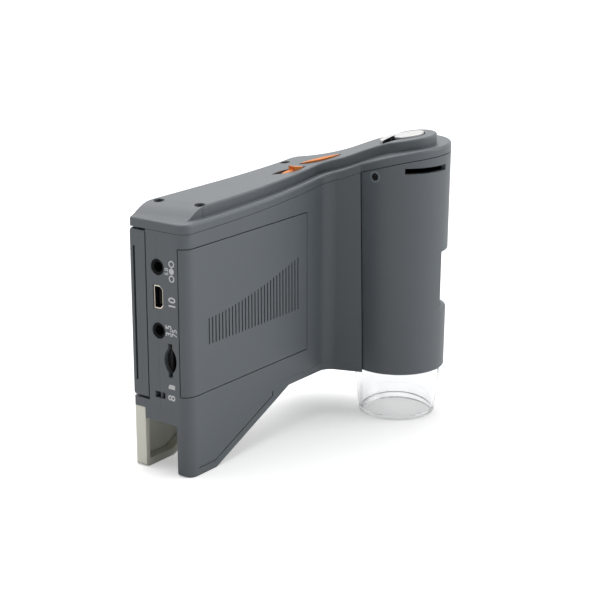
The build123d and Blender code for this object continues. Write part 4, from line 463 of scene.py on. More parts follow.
def clear_plastic(name, colour, roughness, ior, coat):
    """See-through moulding, with the faint waviness of its mould and painted shade along its edges."""
    material, graph, surface = new_material(
        name, {"Transmission Weight": 1.0, "IOR": ior, "Coat Weight": coat})
    texture = effect(graph, "moulded_grain", Grain_Size=0.004, Patch_Size=0.02)
    soft = effect(graph, "soft_edge", Width=0.00045)
    tint = graph.blend(texture.outputs["Tone"], shade(colour, 0.99), shade(colour, 1.01))
    graph.feed(
        surface,
        # Painted shade: the tint darkens to 0.7 along edges, standing in for the dark lines that refraction
        # gives there.
        Base_Color=graph.blend(soft.outputs["Edge"], tint, shade(colour, 0.7)),
        Roughness=graph.spread(texture.outputs["Tone"], roughness, roughness + 0.03),
        Normal=bump(graph, texture.outputs["Tone"], strength=0.05, depth=0.00005))
    return material


def circuit_board(name, colour):
    """Solder mask over copper tracks, with tinned pads."""
    material, graph, surface = new_material(name)
    pattern = effect(graph, "circuit_pattern", Pitch=0.0016)
    masked = graph.blend(pattern.outputs["Track"], colour, shade(colour, 1.9))
    graph.feed(
        surface,
        Base_Color=graph.blend(pattern.outputs["Pad"], masked, TINNED_PAD),
        Metallic=pattern.outputs["Pad"],
        Roughness=graph.spread(pattern.outputs["Pad"], 0.42, 0.28),
        Normal=bump(graph, pattern.outputs["Track"], strength=0.3, depth=0.00003))
    return material


def wrapped_cell(name, colour):
    """Shrink film round the battery, with a pale band and slight wrinkles."""
    material, graph, surface = new_material(name)
    where = graph.add("ShaderNodeTexCoord").outputs["Object"]
    split = graph.add("ShaderNodeSeparateXYZ", {"Vector": where})
    across = graph.sum_up("ABSOLUTE", graph.sum_up("SUBTRACT", split.outputs["Z"], BAND_Z * MM))
    band = graph.sum_up("LESS_THAN", across, BAND_HALF * MM)
    wrinkle = graph.add("ShaderNodeTexNoise", {"Vector": where, "Scale": WRINKLE_SCALE, "Detail": 4.0})
    graph.feed(
        surface,
        Base_Color=graph.blend(band, colour, BATTERY_BAND),
        Roughness=graph.spread(wrinkle.outputs["Fac"], 0.25, 0.45),
        Normal=bump(graph, wrinkle.outputs["Fac"], strength=0.4, depth=0.0001))
    return material


def display_panel(name, colour):
    """Switched-off display: a dark face with its fine grid of cells."""
    material, graph, surface = new_material(name)
    where = graph.add("ShaderNodeTexCoord").outputs["Object"]
    cells = graph.add("ShaderNodeTexChecker", {"Vector": where, "Scale": CELL_SCALE})
    graph.feed(
        surface,
        Base_Color=graph.blend(cells.outputs["Fac"], colour, shade(colour, 1.3)),
        Roughness=graph.spread(cells.outputs["Fac"], 0.16, 0.2),
        Normal=bump(graph, cells.outputs["Fac"], strength=0.05, depth=0.00001))
    return material


def coated_glass(name, colour):
    """Lens glass with a coating that turns violet at a slant."""
    material, graph, surface = new_material(name, {"Transmission Weight": 1.0, "IOR": LENS_IOR})
    slant = graph.add("ShaderNodeLayerWeight", {"Blend": 0.4})
    wear = effect(graph, "moulded_grain", Grain_Size=0.002)
    graph.feed(
        surface,
        Base_Color=graph.blend(slant.outputs["Facing"], colour, LENS_COATING),
        Roughness=graph.spread(wear.outputs["Tone"], 0.0, 0.03))
    return material


def printed_ink(name, colour):
    """White printing: slightly porous, flat."""
    material, graph, surface = new_material(name)
    texture = effect(graph, "moulded_grain", Grain_Size=0.00015)
    graph.feed(
        surface,
        Base_Color=graph.blend(texture.outputs["Tone"], shade(colour, 0.82), colour),
        Roughness=graph.spread(texture.outputs["Tone"], 0.5, 0.65))
    return material


# Mesh helpers -------------------------------------------------------------------------------------

def finish(material, *names):
    """Gives nodes of the frame their finish."""
    for name in names:
        finishes = NODES[name].data.materials
        finishes.clear()
        finishes.append(material)


def add_piece(name, shape, material, body, matrix=None, smooth=True):
    """Turns a bmesh into a piece that rides on a body."""
    mesh = bpy.data.meshes.new(name)
    if matrix is not None:
        bmesh.ops.transform(shape, matrix=matrix, verts=shape.verts)
    bmesh.ops.recalc_face_normals(shape, faces=shape.faces)
    shape.to_mesh(mesh)
    shape.free()
    piece = bpy.data.objects.new(name, mesh)
    bpy.context.scene.collection.objects.link(piece)
    mesh.materials.append(material)
    if smooth:
        mesh.shade_smooth()
        mesh.set_sharp_from_angle(angle=math.radians(SHARP_ANGLE))
    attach(piece, body)
    return piece


def loose_boxes(name):
    """Lowest and highest corners of each separate solid of a frame node, in order of x."""
    shape = bmesh.new()
    shape.from_mesh(NODES[name].data)
    bmesh.ops.remove_doubles(shape, verts=shape.verts, dist=WELD_GAP)
    seen, boxes = set(), []
    for start in shape.verts:
        if start in seen:
            continue
        group, queue = [], [start]
        seen.add(start)
        while queue:
            vert = queue.pop()
            group.append(vert.co)
            for edge in vert.link_edges:
                other = edge.other_vert(vert)
                if other not in seen:
                    seen.add(other)
                    queue.append(other)
        low = Vector(min(co[i] for co in group) for i in range(3))
        high = Vector(max(co[i] for co in group) for i in range(3))
        boxes.append((low, high))
    shape.free()
    return sorted(boxes, key=lambda box: box[0].x)


def facing(direction):
    """A turn that takes local +Z to a direction."""
    return direction.to_track_quat("Z", "Y").to_matrix().to_4x4()


def ring_of(shape, radius, z, count):
    """A level ring of new vertices about the z axis."""
    turns = [2 * math.pi / count * i for i in range(count)]
    return [shape.verts.new((radius * math.cos(turn), radius * math.sin(turn), z)) for turn in turns]


def join_rings(shape, low, high):
    """Faces between two rings of as many vertices."""
    count = len(low)
    for i in range(count):
        j = (i + 1) % count
        shape.faces.new((low[i], low[j], high[j], high[i]))


def screw_shape(radius, length):
    """A pan-head screw with a cross recess; its seat is at the origin and it points down."""
    shape = bmesh.new()
    head, shank = HEAD_HEIGHT * MM, SHANK_R * MM
    profile = [(shank * SHANK_TIP, -length), (shank, -length + shank), (shank, 0.0)]
    profile += [(radius * wide, head * high) for wide, high in HEAD_PROFILE]
    rings = [ring_of(shape, wide, z, HEAD_SIDES) for wide, z in profile]
    for low, high in zip(rings, rings[1:]):
        join_rings(shape, low, high)
    shape.faces.new(list(reversed(rings[0])))
    arm, half = radius * RECESS_ARM, radius * RECESS_HALF
    corners = []
    for turn in range(4):
        spin = Matrix.Rotation(turn * math.pi / 2, 3, "Z")
        corners += [spin @ Vector(point) for point in ((arm, -half, 0), (arm, half, 0), (half, half, 0))]
    top = [shape.verts.new((c.x, c.y, head)) for c in corners]
    deep = head * RECESS_FLOOR
    floor = [shape.verts.new((c.x * RECESS_TAPER, c.y * RECESS_TAPER, deep)) for c in corners]
    join_rings(shape, floor, top)
    shape.faces.new(floor)
    edges = [shape.edges.get((ring[i - 1], ring[i])) for ring in (rings[-1], top) for i in range(len(ring))]
    bmesh.ops.triangle_fill(shape, use_beauty=True, edges=edges)
    return shape


def merge(shapes):
    """Several bmeshes as one."""
    whole = bmesh.new()
    for shape in shapes:
        mesh = bpy.data.meshes.new("part")
        shape.to_mesh(mesh)
        shape.free()
        whole.from_mesh(mesh)
        bpy.data.meshes.remove(mesh)
    return whole


def moved(shape, matrix):
    """The same bmesh, moved and turned by a matrix."""
    bmesh.ops.transform(shape, matrix=matrix, verts=shape.verts)
    return shape


def disc_shape(radius, thick, hole=0.0):
    """A flat disc or ring that stands on the origin."""
    shape = bmesh.new()
    outer_low, outer_high = (ring_of(shape, radius, z, DISC_SIDES) for z in (0.0, thick))
    join_rings(shape, outer_low, outer_high)
    if hole:
        inner_low, inner_high = (ring_of(shape, hole, z, DISC_SIDES) for z in (0.0, thick))
        join_rings(shape, inner_high, inner_low)
        join_rings(shape, outer_high, inner_high)
        join_rings(shape, inner_low, outer_low)
    else:
        shape.faces.new(outer_high)
        shape.faces.new(list(reversed(outer_low)))
    return shape


def drape(shape, name):
    """Lays a thin flat shape on a node, as if it were dropped from above."""
    mesh = NODES[name].data
    points = [vert.co for vert in mesh.vertices]
    tree = BVHTree.FromPolygons(points, [face.vertices for face in mesh.polygons])
    for vert in shape.verts:
        above, down = Vector((vert.co.x, vert.co.y, 1.0)), Vector((0, 0, -1))
        vert.co.z += tree.ray_cast(above, down)[0].z
    return shape


def box_shape(low, high):
    """A box between two corners."""
    shape = bmesh.new()
    bmesh.ops.create_cube(shape, size=1.0)
    size = high - low
    return moved(shape, Matrix.Translation((low + high) / 2) @ Matrix.Diagonal((*size, 1.0)))


def lathe_shape(profile):
    """A closed profile of radius and height, turned round the z axis."""
    shape = bmesh.new()
    rings = [ring_of(shape, radius, z, LATHE_SIDES) for radius, z in profile]
    for low, high in zip(rings, rings[1:] + rings[:1]):
        join_rings(shape, low, high)
    return shape


def plate_shape(outline, thick):
    """A flat plate with a given outline that stands on the origin."""
    shape = bmesh.new()
    low = [shape.verts.new((x, y, 0.0)) for x, y in outline]
    high = [shape.verts.new((x, y, thick)) for x, y in outline]
    join_rings(shape, low, high)
    shape.faces.new(high)
    shape.faces.new(list(reversed(low)))
    return shape


def sleeve_shape(outer, inner, thick):
    """A straight sleeve between two outlines of as many points, that stands on the origin."""
    shape = bmesh.new()
    outer_low, outer_high, inner_low, inner_high = (
        [shape.verts.new((x, y, z)) for x, y in outline]
        for outline in (outer, inner) for z in (0.0, thick))
    join_rings(shape, outer_low, outer_high)
    join_rings(shape, outer_high, inner_high)
    join_rings(shape, inner_high, inner_low)
    join_rings(shape, inner_low, outer_low)
    return shape


def number_shape(words, size, thick):
    """Plain numbers as a thin plate, centred on the origin."""
    curve = bpy.data.curves.new("numbers", "FONT")
    curve.body = words
    curve.size = size
    curve.extrude = thick / 2
    curve.offset = size * DIGIT_WEIGHT
    curve.align_x, curve.align_y = "CENTER", "CENTER"
    holder = bpy.data.objects.new("numbers", curve)
    bpy.context.scene.collection.objects.link(holder)
    bpy.context.view_layer.update()
    mesh = bpy.data.meshes.new_from_object(holder.evaluated_get(bpy.context.evaluated_depsgraph_get()))
    shape = bmesh.new()
    shape.from_mesh(mesh)
    bpy.data.objects.remove(holder)
    bpy.data.curves.remove(curve)
    bpy.data.meshes.remove(mesh)
    return moved(shape, Matrix.Translation((0, 0, thick / 2)))


# Sizes and colours a user would change -------------------------------------------------------------

def colour_property(name, description, default):
    """A colour that a user can change."""
    return FloatVectorProperty(name=name, description=description, default=default, size=3,
                               min=0.0, max=1.0, subtype="COLOR")


class HousingFinish(bpy.types.PropertyGroup):
    """Colours and texture of the mouldings."""
    grey: colour_property("Housing grey", "Colour of the body, barrel and cover", (0.108, 0.124, 0.138))
    ivory: colour_property("Ivory", "Colour of the pale leg", (0.86, 0.85, 0.75))
    dark: colour_property("Dark plastic", "Colour of the inner mouldings and wheel", (0.022, 0.023, 0.025))
    hinge: colour_property("Hinge grey", "Colour of the hinge block", (0.045, 0.050, 0.056))
    roughness: FloatProperty(name="Roughness", description="Roughness of the housing", default=0.46,
                             min=0.0, max=1.0, subtype="FACTOR")
    grain: FloatProperty(name="Grain size", description="Size of the moulded texture", default=0.00028,
                         min=0.00005, max=0.002, unit="LENGTH", precision=5)
    # The edge width also sets the band of the painted edge highlight.
    edge: FloatProperty(name="Edge width", description="Width over which an edge looks rounded",
                        default=0.00035, min=0.0, max=0.002, unit="LENGTH", precision=5)


class ControlFinish(bpy.types.PropertyGroup):
    """Colours of the slider, rocker, button, sockets and metal parts."""
    orange: colour_property("Orange", "Colour of the slider and rocker", (0.90, 0.26, 0.03))
    silver: colour_property("Silver", "Colour of the button and its crescent", (0.66, 0.66, 0.65))
    steel: colour_property("Steel", "Colour of socket shells, pins and screws", (0.70, 0.68, 0.64))
    socket_rim: colour_property("Socket rim", "Colour of the mini socket's shell", (0.95, 0.86, 0.72))
    gold: colour_property("Contact gold", "Colour of the contacts", (0.86, 0.62, 0.24))
    # pit: colour of the painted shade in the gap and pit beside the button
    pit: colour_property("Pit", "Colour of the gap and pit beside the button", (0.008, 0.008, 0.009))
    socket: colour_property("Socket inside", "Colour inside the mini socket", (0.006, 0.006, 0.0065))
    reader: colour_property("Card reader", "Colour of the card slot's mouth", (0.013, 0.013, 0.014))
    strap_bar: colour_property("Strap bar", "Colour of the bar for the wrist strap", (0.07, 0.075, 0.08))


class OpticsFinish(bpy.types.PropertyGroup):
    """Clear hood, lenses, lights and display."""
    hood: colour_property("Hood", "Tint of the clear hood", (0.885, 0.89, 0.895))
    hood_ior: FloatProperty(name="Hood IOR", description="Refraction of the clear hood", default=1.49,
                            min=1.0, max=2.0)
    lens: colour_property("Lens", "Tint of the lens glass", (0.93, 0.96, 0.97))
    smoke: colour_property("Window", "Tint of the window over the display", (0.35, 0.36, 0.38))
    lamp: colour_property("Diode", "Colour of the diodes' resin", (0.93, 0.93, 0.86))
    display: colour_property("Display", "Colour of the switched-off display", (0.012, 0.014, 0.018))
    board: colour_property("Board", "Colour of the solder mask", (0.015, 0.10, 0.05))
    battery: colour_property("Battery", "Colour of the battery's film", (0.03, 0.035, 0.05))


class PrintSizes(bpy.types.PropertyGroup):
    """Printed marks on the socket end and raised marks on the keys."""
    ink: colour_property("Ink", "Colour of the printing", (0.72, 0.73, 0.74))
    height: FloatProperty(name="Number height", description="Height of the larger printed numbers",
                          default=0.0024, min=0.0005, max=0.01, unit="LENGTH", precision=4)
    film: FloatProperty(name="Ink thickness", description="Thickness of the printed film",
                        default=0.00003, min=0.00001, max=0.001, unit="LENGTH", precision=5)
    key_mark: FloatProperty(name="Key mark height", description="How far a key's mark stands up",
                            default=0.00015, min=0.00001, max=0.001, unit="LENGTH", precision=5)


class StudioSettings(bpy.types.PropertyGroup):
    """Floor, lamps and camera."""
    floor: colour_property("Floor", "Colour of the floor", (0.93, 0.93, 0.93))
    sky: FloatProperty(name="Sky level", description="Strength of the even light from all round",
                       default=0.13, min=0.0, max=2.0)
    mirrored: FloatProperty(name="Mirrored sky", description="Strength of the sky as glossy faces see it",
                            default=1.15, min=0.0, max=10.0)
    overhead: FloatProperty(name="Overhead level", description="Strength of the soft light from above",
                            default=2.6, min=0.0, max=10.0)
    front: FloatProperty(name="Front level", description="Strength of the soft light from the right front",
                         default=1.25, min=0.0, max=10.0)
    lift: FloatProperty(name="Floor lift", description="Light added to the floor where it is looked at",
                        default=0.40, min=0.0, max=1.0)
    lens: FloatProperty(name="Lens", description="Focal length of the camera", default=0.09781,
                        min=0.01, max=0.5, unit="CAMERA")


# Operators ----------------------------------------------------------------------------------------

class MICROSCOPE_OT_housing(bpy.types.Operator):
    """Finish the body shells, covers, barrel, door, screen lid and legs"""
    bl_idname = "microscope.housing"
    bl_label = "Housing"

    def execute(self, context):
        look = context.scene.microscope_housing
        grey, rough, grain, edge = tuple(look.grey), look.roughness, look.grain, look.edge
        body = moulded("housing_grey", grey, rough, grain, edge)
        finish(body, "rear_shell", "front_shell", "bottom_cover")
        cover = moulded("cover_grey", grey, rough - 0.04, grain, edge)
        finish(cover, "top_cover", "lcd_back_shell", "lcd_bezel")
        finish(moulded("barrel_grey", grey, rough, grain, edge), "barrel_sleeve")
        finish(moulded("door_grey", grey, rough, grain, edge * 0.5), "battery_door")
        # lift=1.08: a faint painted highlight along the leg's edges.
        leg = moulded("leg_ivory", tuple(look.ivory), 0.5, grain, edge, lift=1.08)
        finish(leg, "front_leg")
        return {"FINISHED"}


class MICROSCOPE_OT_dark_parts(bpy.types.Operator):
    """Finish the focusing wheel, hinge, keys and inner mouldings"""
    bl_idname = "microscope.dark_parts"
    bl_label = "Dark mouldings"

    def execute(self, context):
        look = context.scene.microscope_housing
        dark = tuple(look.dark)
        # lift=2.0: a strong painted highlight along the wheel's ribs.
        wheel = moulded("wheel_black", shade(dark, 1.3), roughness=0.42, edge=0.0002, lift=2.0)
        finish(wheel, "focus_wheel")
        finish(moulded("hinge_grey", tuple(look.hinge), roughness=0.5), "hinge_block")
        inner = moulded("inner_black", dark, roughness=0.6)
        finish(inner, "optics_chassis", "lens_carriage", "key_switches", "control_switches", "power_lever")
        jack = moulded("jack_black", shade(dark, 0.35), roughness=0.6, gloss=0.12)
        finish(jack, "dc_jack", "av_jack")
        key = moulded("key_grey", shade(dark, 3.2), roughness=0.55, edge=0.00025)
        finish(key, "menu_key", "down_key", "left_key", "right_key", "ok_key")
        return {"FINISHED"}


class MICROSCOPE_OT_controls(bpy.types.Operator):
    """Finish the slider, rocker, shutter button and crescent, and paint shade in the pit beside them"""
    bl_idname = "microscope.controls"
    bl_label = "Deck controls"

    def execute(self, context):
        look = context.scene.microscope_controls
        orange = glossy("control_orange", tuple(look.orange), roughness=0.38, coat=0.0, gloss=0.3)
        finish(orange, "power_slider", "zoom_rocker")
        silver = metal("button_silver", tuple(look.silver), roughness=0.45, metallic=0.3)
        finish(silver, "shutter_button", "crescent_trim")
        # Black sheets of painted shade in the button's gap and the crescent's pit.
        self.paint_pit_shade(moulded("painted_shade_black", tuple(look.pit), roughness=0.6, gloss=0.12))
        return {"FINISHED"}

    def deck_frame(self):
        """The slanted deck's frame at the middle of the button, from the crescent's flat top."""
        trim, button = NODES["crescent_trim"].data, NODES["shutter_button"].data
        up = Vector()
        for face in trim.polygons:
            if face.normal.z > LEVEL_FACE:
                up += face.normal * face.area
        up.normalize()
        level = max(up.dot(vert.co) for vert in button.vertices) - BUTTON_RISE * MM
        middle = place(BUTTON_X, BUTTON_Y, 0.0)
        middle.z = (level - up.x * middle.x - up.y * middle.y) / up.z
        along = (Vector((1, 0, 0)) - up * up.x).normalized()
        turn = Matrix((along, up.cross(along), up)).transposed()
        return Matrix.Translation(middle) @ turn.to_4x4()

    def paint_pit_shade(self, black):
        """Painted shade: black sheets in the gap round the button and in the pit inside the crescent."""
        gap = disc_shape(GAP_R * MM, GAP_HEIGHT * MM, (GAP_R - GAP_SHADE_THICK) * MM)
        arc = arc_through(*(polar(radius, turn) for radius, turn in PIT_ARC), PIT_ARC_STEPS)
        near, far = ([point * (1 - inset / point.length) for point in arc] for inset in PIT_SHADE_INSETS)
        wall = plate_shape([(p.x * MM, p.y * MM) for p in near + far[::-1]], PIT_WALL_HEIGHT * MM)
        corners = [polar(radius, turn) for radius, turn in PIT_CORNERS]
        floor = plate_shape([(p.x * MM, p.y * MM) for p in corners], PIT_FLOOR_THICK * MM)
        pieces = [moved(shape, Matrix.Translation((0, 0, height * MM)))
                  for shape, height in ((gap, GAP_FLOOR), (wall, PIT_WALL_FOOT), (floor, PIT_FLOOR))]
        add_piece("button_pit_painted_shade", merge(pieces), black, "housing", self.deck_frame(),
                  smooth=False)


class MICROSCOPE_OT_metalwork(bpy.types.Operator):
    """Finish the sockets, pins, clips and contacts"""
    bl_idname = "microscope.metalwork"
    bl_label = "Metal parts"

    def execute(self, context):
        look = context.scene.microscope_controls
        steel = tuple(look.steel)
        finish(metal("bright_steel", steel, roughness=0.28), "hinge_pin", "wheel_clip")
        switch = metal("switch_steel", shade(steel, 0.06), roughness=0.55, metallic=0.4)
        finish(switch, "power_switch")
        reader = moulded("reader_black", tuple(look.reader), roughness=0.5, gloss=0.3)
        finish(reader, "card_socket")
        finish(moulded("bar_grey", tuple(look.strap_bar), roughness=0.5), "lanyard_bar")
        rim = metal("socket_rim", tuple(look.socket_rim), roughness=0.22, metallic=0.9)
        finish(rim, "usb_socket")
        gold = metal("contact_gold", tuple(look.gold), roughness=0.25)
        finish(gold, "battery_contacts")
        self.fill_mini_socket(moulded("socket_black", tuple(look.socket), roughness=0.6, gloss=0.12))
        self.lay_contacts(gold)
        return {"FINISHED"}

    def fill_mini_socket(self, black):
        """The mini socket's black insert: a sleeve inside its shell, a floor and a tongue."""
        deep, tall, corner = SOCKET_HALF_Y, SOCKET_HALF_Z, SOCKET_CORNER
        shell = ((-deep, corner - tall), (corner - deep, -tall), (deep, -tall), (deep, tall),
                 (corner - deep, tall), (-deep, tall - corner))
        outside, inside = ([(y * MM * share_y, z * MM * share_z) for y, z in shell]
                           for share_y, share_z in (SLEEVE_OUTSIDE, SLEEVE_INSIDE))
        into_wall = Matrix(((0, 0, 1, 0), (1, 0, 0, 0), (0, 1, 0, 0), (0, 0, 0, 1)))
        start, end = (Matrix.Translation(place(x, PARTING_Y, SOCKET_Z)) @ into_wall
                      for x in (SLEEVE_START, SLEEVE_START + SLEEVE_LENGTH))
        sleeve = moved(sleeve_shape(outside, inside, SLEEVE_LENGTH * MM), start)
        floor = moved(plate_shape(outside, SOCKET_FLOOR * MM), end)
        tongue = box_shape(place(TONGUE_X[0], PARTING_Y + TONGUE_Y[0], SOCKET_Z - TONGUE_HALF_Z),
                           place(TONGUE_X[1], PARTING_Y + TONGUE_Y[1], SOCKET_Z + TONGUE_HALF_Z))
        add_piece("mini_socket_insert", merge([sleeve, floor, tongue]), black, "housing",
                  smooth=False)

    def lay_contacts(self, gold):
        """Five contacts on the mini socket's tongue."""
        strips = []
        for step in range(-2, 3):
            z = SOCKET_Z + step * CONTACT_STEP
            strips.append(box_shape(place(CONTACT_X[0], PARTING_Y + CONTACT_Y[0], z - CONTACT_HALF_Z),
                                    place(CONTACT_X[1], PARTING_Y + CONTACT_Y[1], z + CONTACT_HALF_Z)))
        add_piece("mini_socket_contacts", merge(strips), gold, "housing", smooth=False)


class MICROSCOPE_OT_optics(bpy.types.Operator):
    """Finish the clear hood, lenses, diodes, sensor and display"""
    bl_idname = "microscope.optics"
    bl_label = "Optics and display"

    def execute(self, context):
        look = context.scene.microscope_optics
        hood = clear_plastic("hood_clear", tuple(look.hood), roughness=0.0, ior=look.hood_ior, coat=0.3)
        self.turn_hood(hood)
        finish(coated_glass("lens_glass", tuple(look.lens)), "objective_lens", "rear_lens")
        finish(glossy("diode_resin", tuple(look.lamp), roughness=0.18, coat=0.5), "leds")
        window = clear_plastic("window_smoke", tuple(look.smoke), roughness=0.02, ior=WINDOW_IOR, coat=0.4)
        finish(window, "lcd_window")
        finish(display_panel("display_dark", tuple(look.display)), "lcd_module", "image_sensor")
        return {"FINISHED"}

    def turn_hood(self, clear):
        """The hood as one smooth turning: rounded foot, bulged side, even wall, spigot on top."""
        bead = arc_through(*map(Vector, HOOD_BEAD), BEAD_STEPS)
        side = arc_through(*map(Vector, HOOD_SIDE), SIDE_STEPS)
        outer, top = BARREL_R - BARREL_WALL - HOOD_PLAY, BARREL_BOTTOM + HOOD_SPIGOT
        inner = outer - HOOD_WALL
        spigot = ((outer, BARREL_BOTTOM), (outer, top), (inner, top), (inner, BARREL_BOTTOM))
        profile = [(radius * MM, z * MM) for radius, z in (*bead, *side, *spigot, *HOOD_FOOT)]
        piece = add_piece("hood_turning", lathe_shape(profile), clear, "housing",
                          Matrix.Translation(place(BARREL_X, BARREL_Y, 0.0)))
        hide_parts("clear_tip")


class MICROSCOPE_OT_electrics(bpy.types.Operator):
    """Finish the circuit boards and the battery"""
    bl_idname = "microscope.electrics"
    bl_label = "Boards and battery"

    def execute(self, context):
        look = context.scene.microscope_optics
        board = circuit_board("board_green", tuple(look.board))
        finish(board, "main_board", "control_board", "shutter_board", "led_board", "sensor_board")
        finish(wrapped_cell("battery_film", tuple(look.battery)), "battery_pack")
        return {"FINISHED"}


class MICROSCOPE_OT_screws(bpy.types.Operator):
    """Make the cross-headed screws of the cover and barrel"""
    bl_idname = "microscope.screws"
    bl_label = "Screws"

    def execute(self, context):
        steel = shade(tuple(context.scene.microscope_controls.steel), 0.08)
        dark_steel = metal("screw_steel", steel, roughness=0.5, metallic=0.6)
        self.make_cover_screws(dark_steel, bpy.data.materials["painted_shade_black"])
        self.make_barrel_screw(dark_steel)
        grey = shade(tuple(context.scene.microscope_housing.grey), 1.7)
        self.make_barrel_rim(moulded("screw_rim", grey, roughness=0.4))
        return {"FINISHED"}

    def make_cover_screws(self, steel, black):
        """The cover's screws, and rings of painted shade laid on the cover round their holes."""
        screws, painted_hole_shades = [], []
        for low, high in loose_boxes("cover_screws"):
            seat = Vector(((low.x + high.x) / 2, (low.y + high.y) / 2, high.z - HEAD_HEIGHT * MM))
            shape = screw_shape((high.x - low.x) / 2, seat.z - low.z)
            screws.append(moved(shape, Matrix.Translation(seat)))
            # A black ring of painted shade, darkening the cover round the hole.
            rim = disc_shape(COVER_SHADE_R * MM, COVER_SHADE_THICK * MM, COVER_SHADE_HOLE * MM)
            painted_hole_shades.append(drape(moved(rim, Matrix.Translation((seat.x, seat.y, 0.0))), "top_cover"))
        heads = add_piece("cover_screw_set", merge(screws), steel, "housing")
        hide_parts("cover_screws")
        add_piece("cover_screw_painted_shades", merge(painted_hole_shades), black, "housing", smooth=False)

    def make_barrel_screw(self, steel):
        """The screw in the barrel's side, square to the barrel's axis."""
        low = loose_boxes("barrel_screw")[0][0]
        axis = place(BARREL_X, BARREL_Y, BARREL_SCREW_Z)
        out = polar(1.0, BARREL_SCREW_TURN).to_3d()
        reach = (axis.x - low.x) / abs(out.x)
        seat = axis + out * (reach - BARREL_SEAT * MM)
        shape = screw_shape(BARREL_HEAD_R * MM, BARREL_SCREW_LENGTH * MM)
        head = add_piece("barrel_screw_head", shape, steel, "housing",
                         Matrix.Translation(seat) @ facing(out))
        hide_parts("barrel_screw")

    def make_barrel_rim(self, pale):
        """A thin ring laid on the drafted barrel round that screw's hole."""
        ring = disc_shape(BARREL_RIM_R * MM, BARREL_RIM_THICK * MM, BARREL_RIM_HOLE * MM)
        slope = math.tan(math.radians(BARREL_DRAFT))
        for vert in ring.verts:
            height = BARREL_SCREW_Z + vert.co.x / MM
            radius = BARREL_R + (height - BARREL_BOTTOM) * slope
            turn = BARREL_SCREW_TURN + math.degrees(vert.co.y / MM / radius)
            reach = radius * MM + vert.co.z
            vert.co = place(BARREL_X, BARREL_Y, height) + polar(1.0, turn).to_3d() * reach
        add_piece("barrel_screw_rim", ring, pale, "housing", smooth=False)


class MICROSCOPE_OT_port_marks(bpy.types.Operator):
    """Print plain numbers and signs beside the sockets"""
    bl_idname = "microscope.port_marks"
    bl_label = "Printed marks"

    def execute(self, context):
        sizes = context.scene.microscope_print
        ink = printed_ink("white_ink", tuple(sizes.ink))
        for name, words, y, z, share in WALL_NUMBERS:
            shape = number_shape(words, sizes.height * share / DIGIT_SHARE, sizes.film)
            add_piece(name, shape, ink, "housing", self.on_wall(y, z), smooth=False)
        add_piece("supply_sign", self.supply_sign(sizes.film), ink, "housing", smooth=False)
        card = plate_shape([(x * MM, y * MM) for x, y in CARD_SIGN], sizes.film)
        add_piece("card_sign", card, ink, "housing",
                  self.on_wall(CARD_SIGN_Y, CARD_SIGN_Z), smooth=False)
        return {"FINISHED"}

    def on_wall(self, y, z):
        """Stands a mark on the end wall, reading upwards and facing out of it."""
        upright = Matrix(((0, 0, -1, 0), (0, 1, 0, 0), (1, 0, 0, 0), (0, 0, 0, 1)))
        return Matrix.Translation(place(0.0, y, z)) @ upright

    def supply_sign(self, film):
        """A dot between two rings, joined by short bars."""
        marks = [(disc_shape(RING_R * MM, film, RING_HOLE * MM), SUPPLY_SIGN_STEP),
                 (disc_shape(DOT_R * MM, film), 0.0),
                 (disc_shape(RING_R * MM, film, RING_HOLE * MM), -SUPPLY_SIGN_STEP)]
        long, half = SUPPLY_BAR_LENGTH * MM, SUPPLY_BAR_HALF * MM
        bar = ((0, -half), (long, -half), (long, half), (0, half))
        marks += [(plate_shape(bar, film), start) for start in SUPPLY_BAR_STARTS]
        return merge(moved(shape, self.on_wall(SUPPLY_SIGN_Y, SUPPLY_SIGN_Z + rise))
                     for shape, rise in marks)


class MICROSCOPE_OT_key_marks(bpy.types.Operator):
    """Raise a plain sign on each key behind the screen"""
    bl_idname = "microscope.key_marks"
    bl_label = "Key marks"

    def execute(self, context):
        high = context.scene.microscope_print.key_mark
        ink = bpy.data.materials["white_ink"]
        outward = Matrix(((-1, 0, 0, 0), (0, 0, 1, 0), (0, 1, 0, 0), (0, 0, 0, 1)))
        signs = {
            "menu": merge([self.plate(BAR, high, rise=step) for step in (-BAR_STEP, 0.0, BAR_STEP)]),
            "left": self.plate(ARROW, high),
            "right": self.plate(ARROW, high, turn=math.pi),
            "down": self.plate(ARROW, high, turn=-math.pi / 2),
            "ok": disc_shape(RING_R * MM, high, RING_HOLE * MM),
        }
        for name, shape in signs.items():
            low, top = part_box(f"{name}_key")
            middle = Vector(((low.x + top.x) / 2, top.y, (low.z + top.z) / 2))
            add_piece(f"{name}_sign", shape, ink, f"key_{name}",
                      Matrix.Translation(middle) @ outward, smooth=False)
        return {"FINISHED"}

    def plate(self, outline, high, turn=0.0, rise=0.0):
        """A raised mark, turned and moved up or down on its key."""
        shape = plate_shape([(x * MM, y * MM) for x, y in outline], high)
        return moved(shape, Matrix.Translation((0, rise * MM, 0)) @ Matrix.Rotation(turn, 4, "Z"))


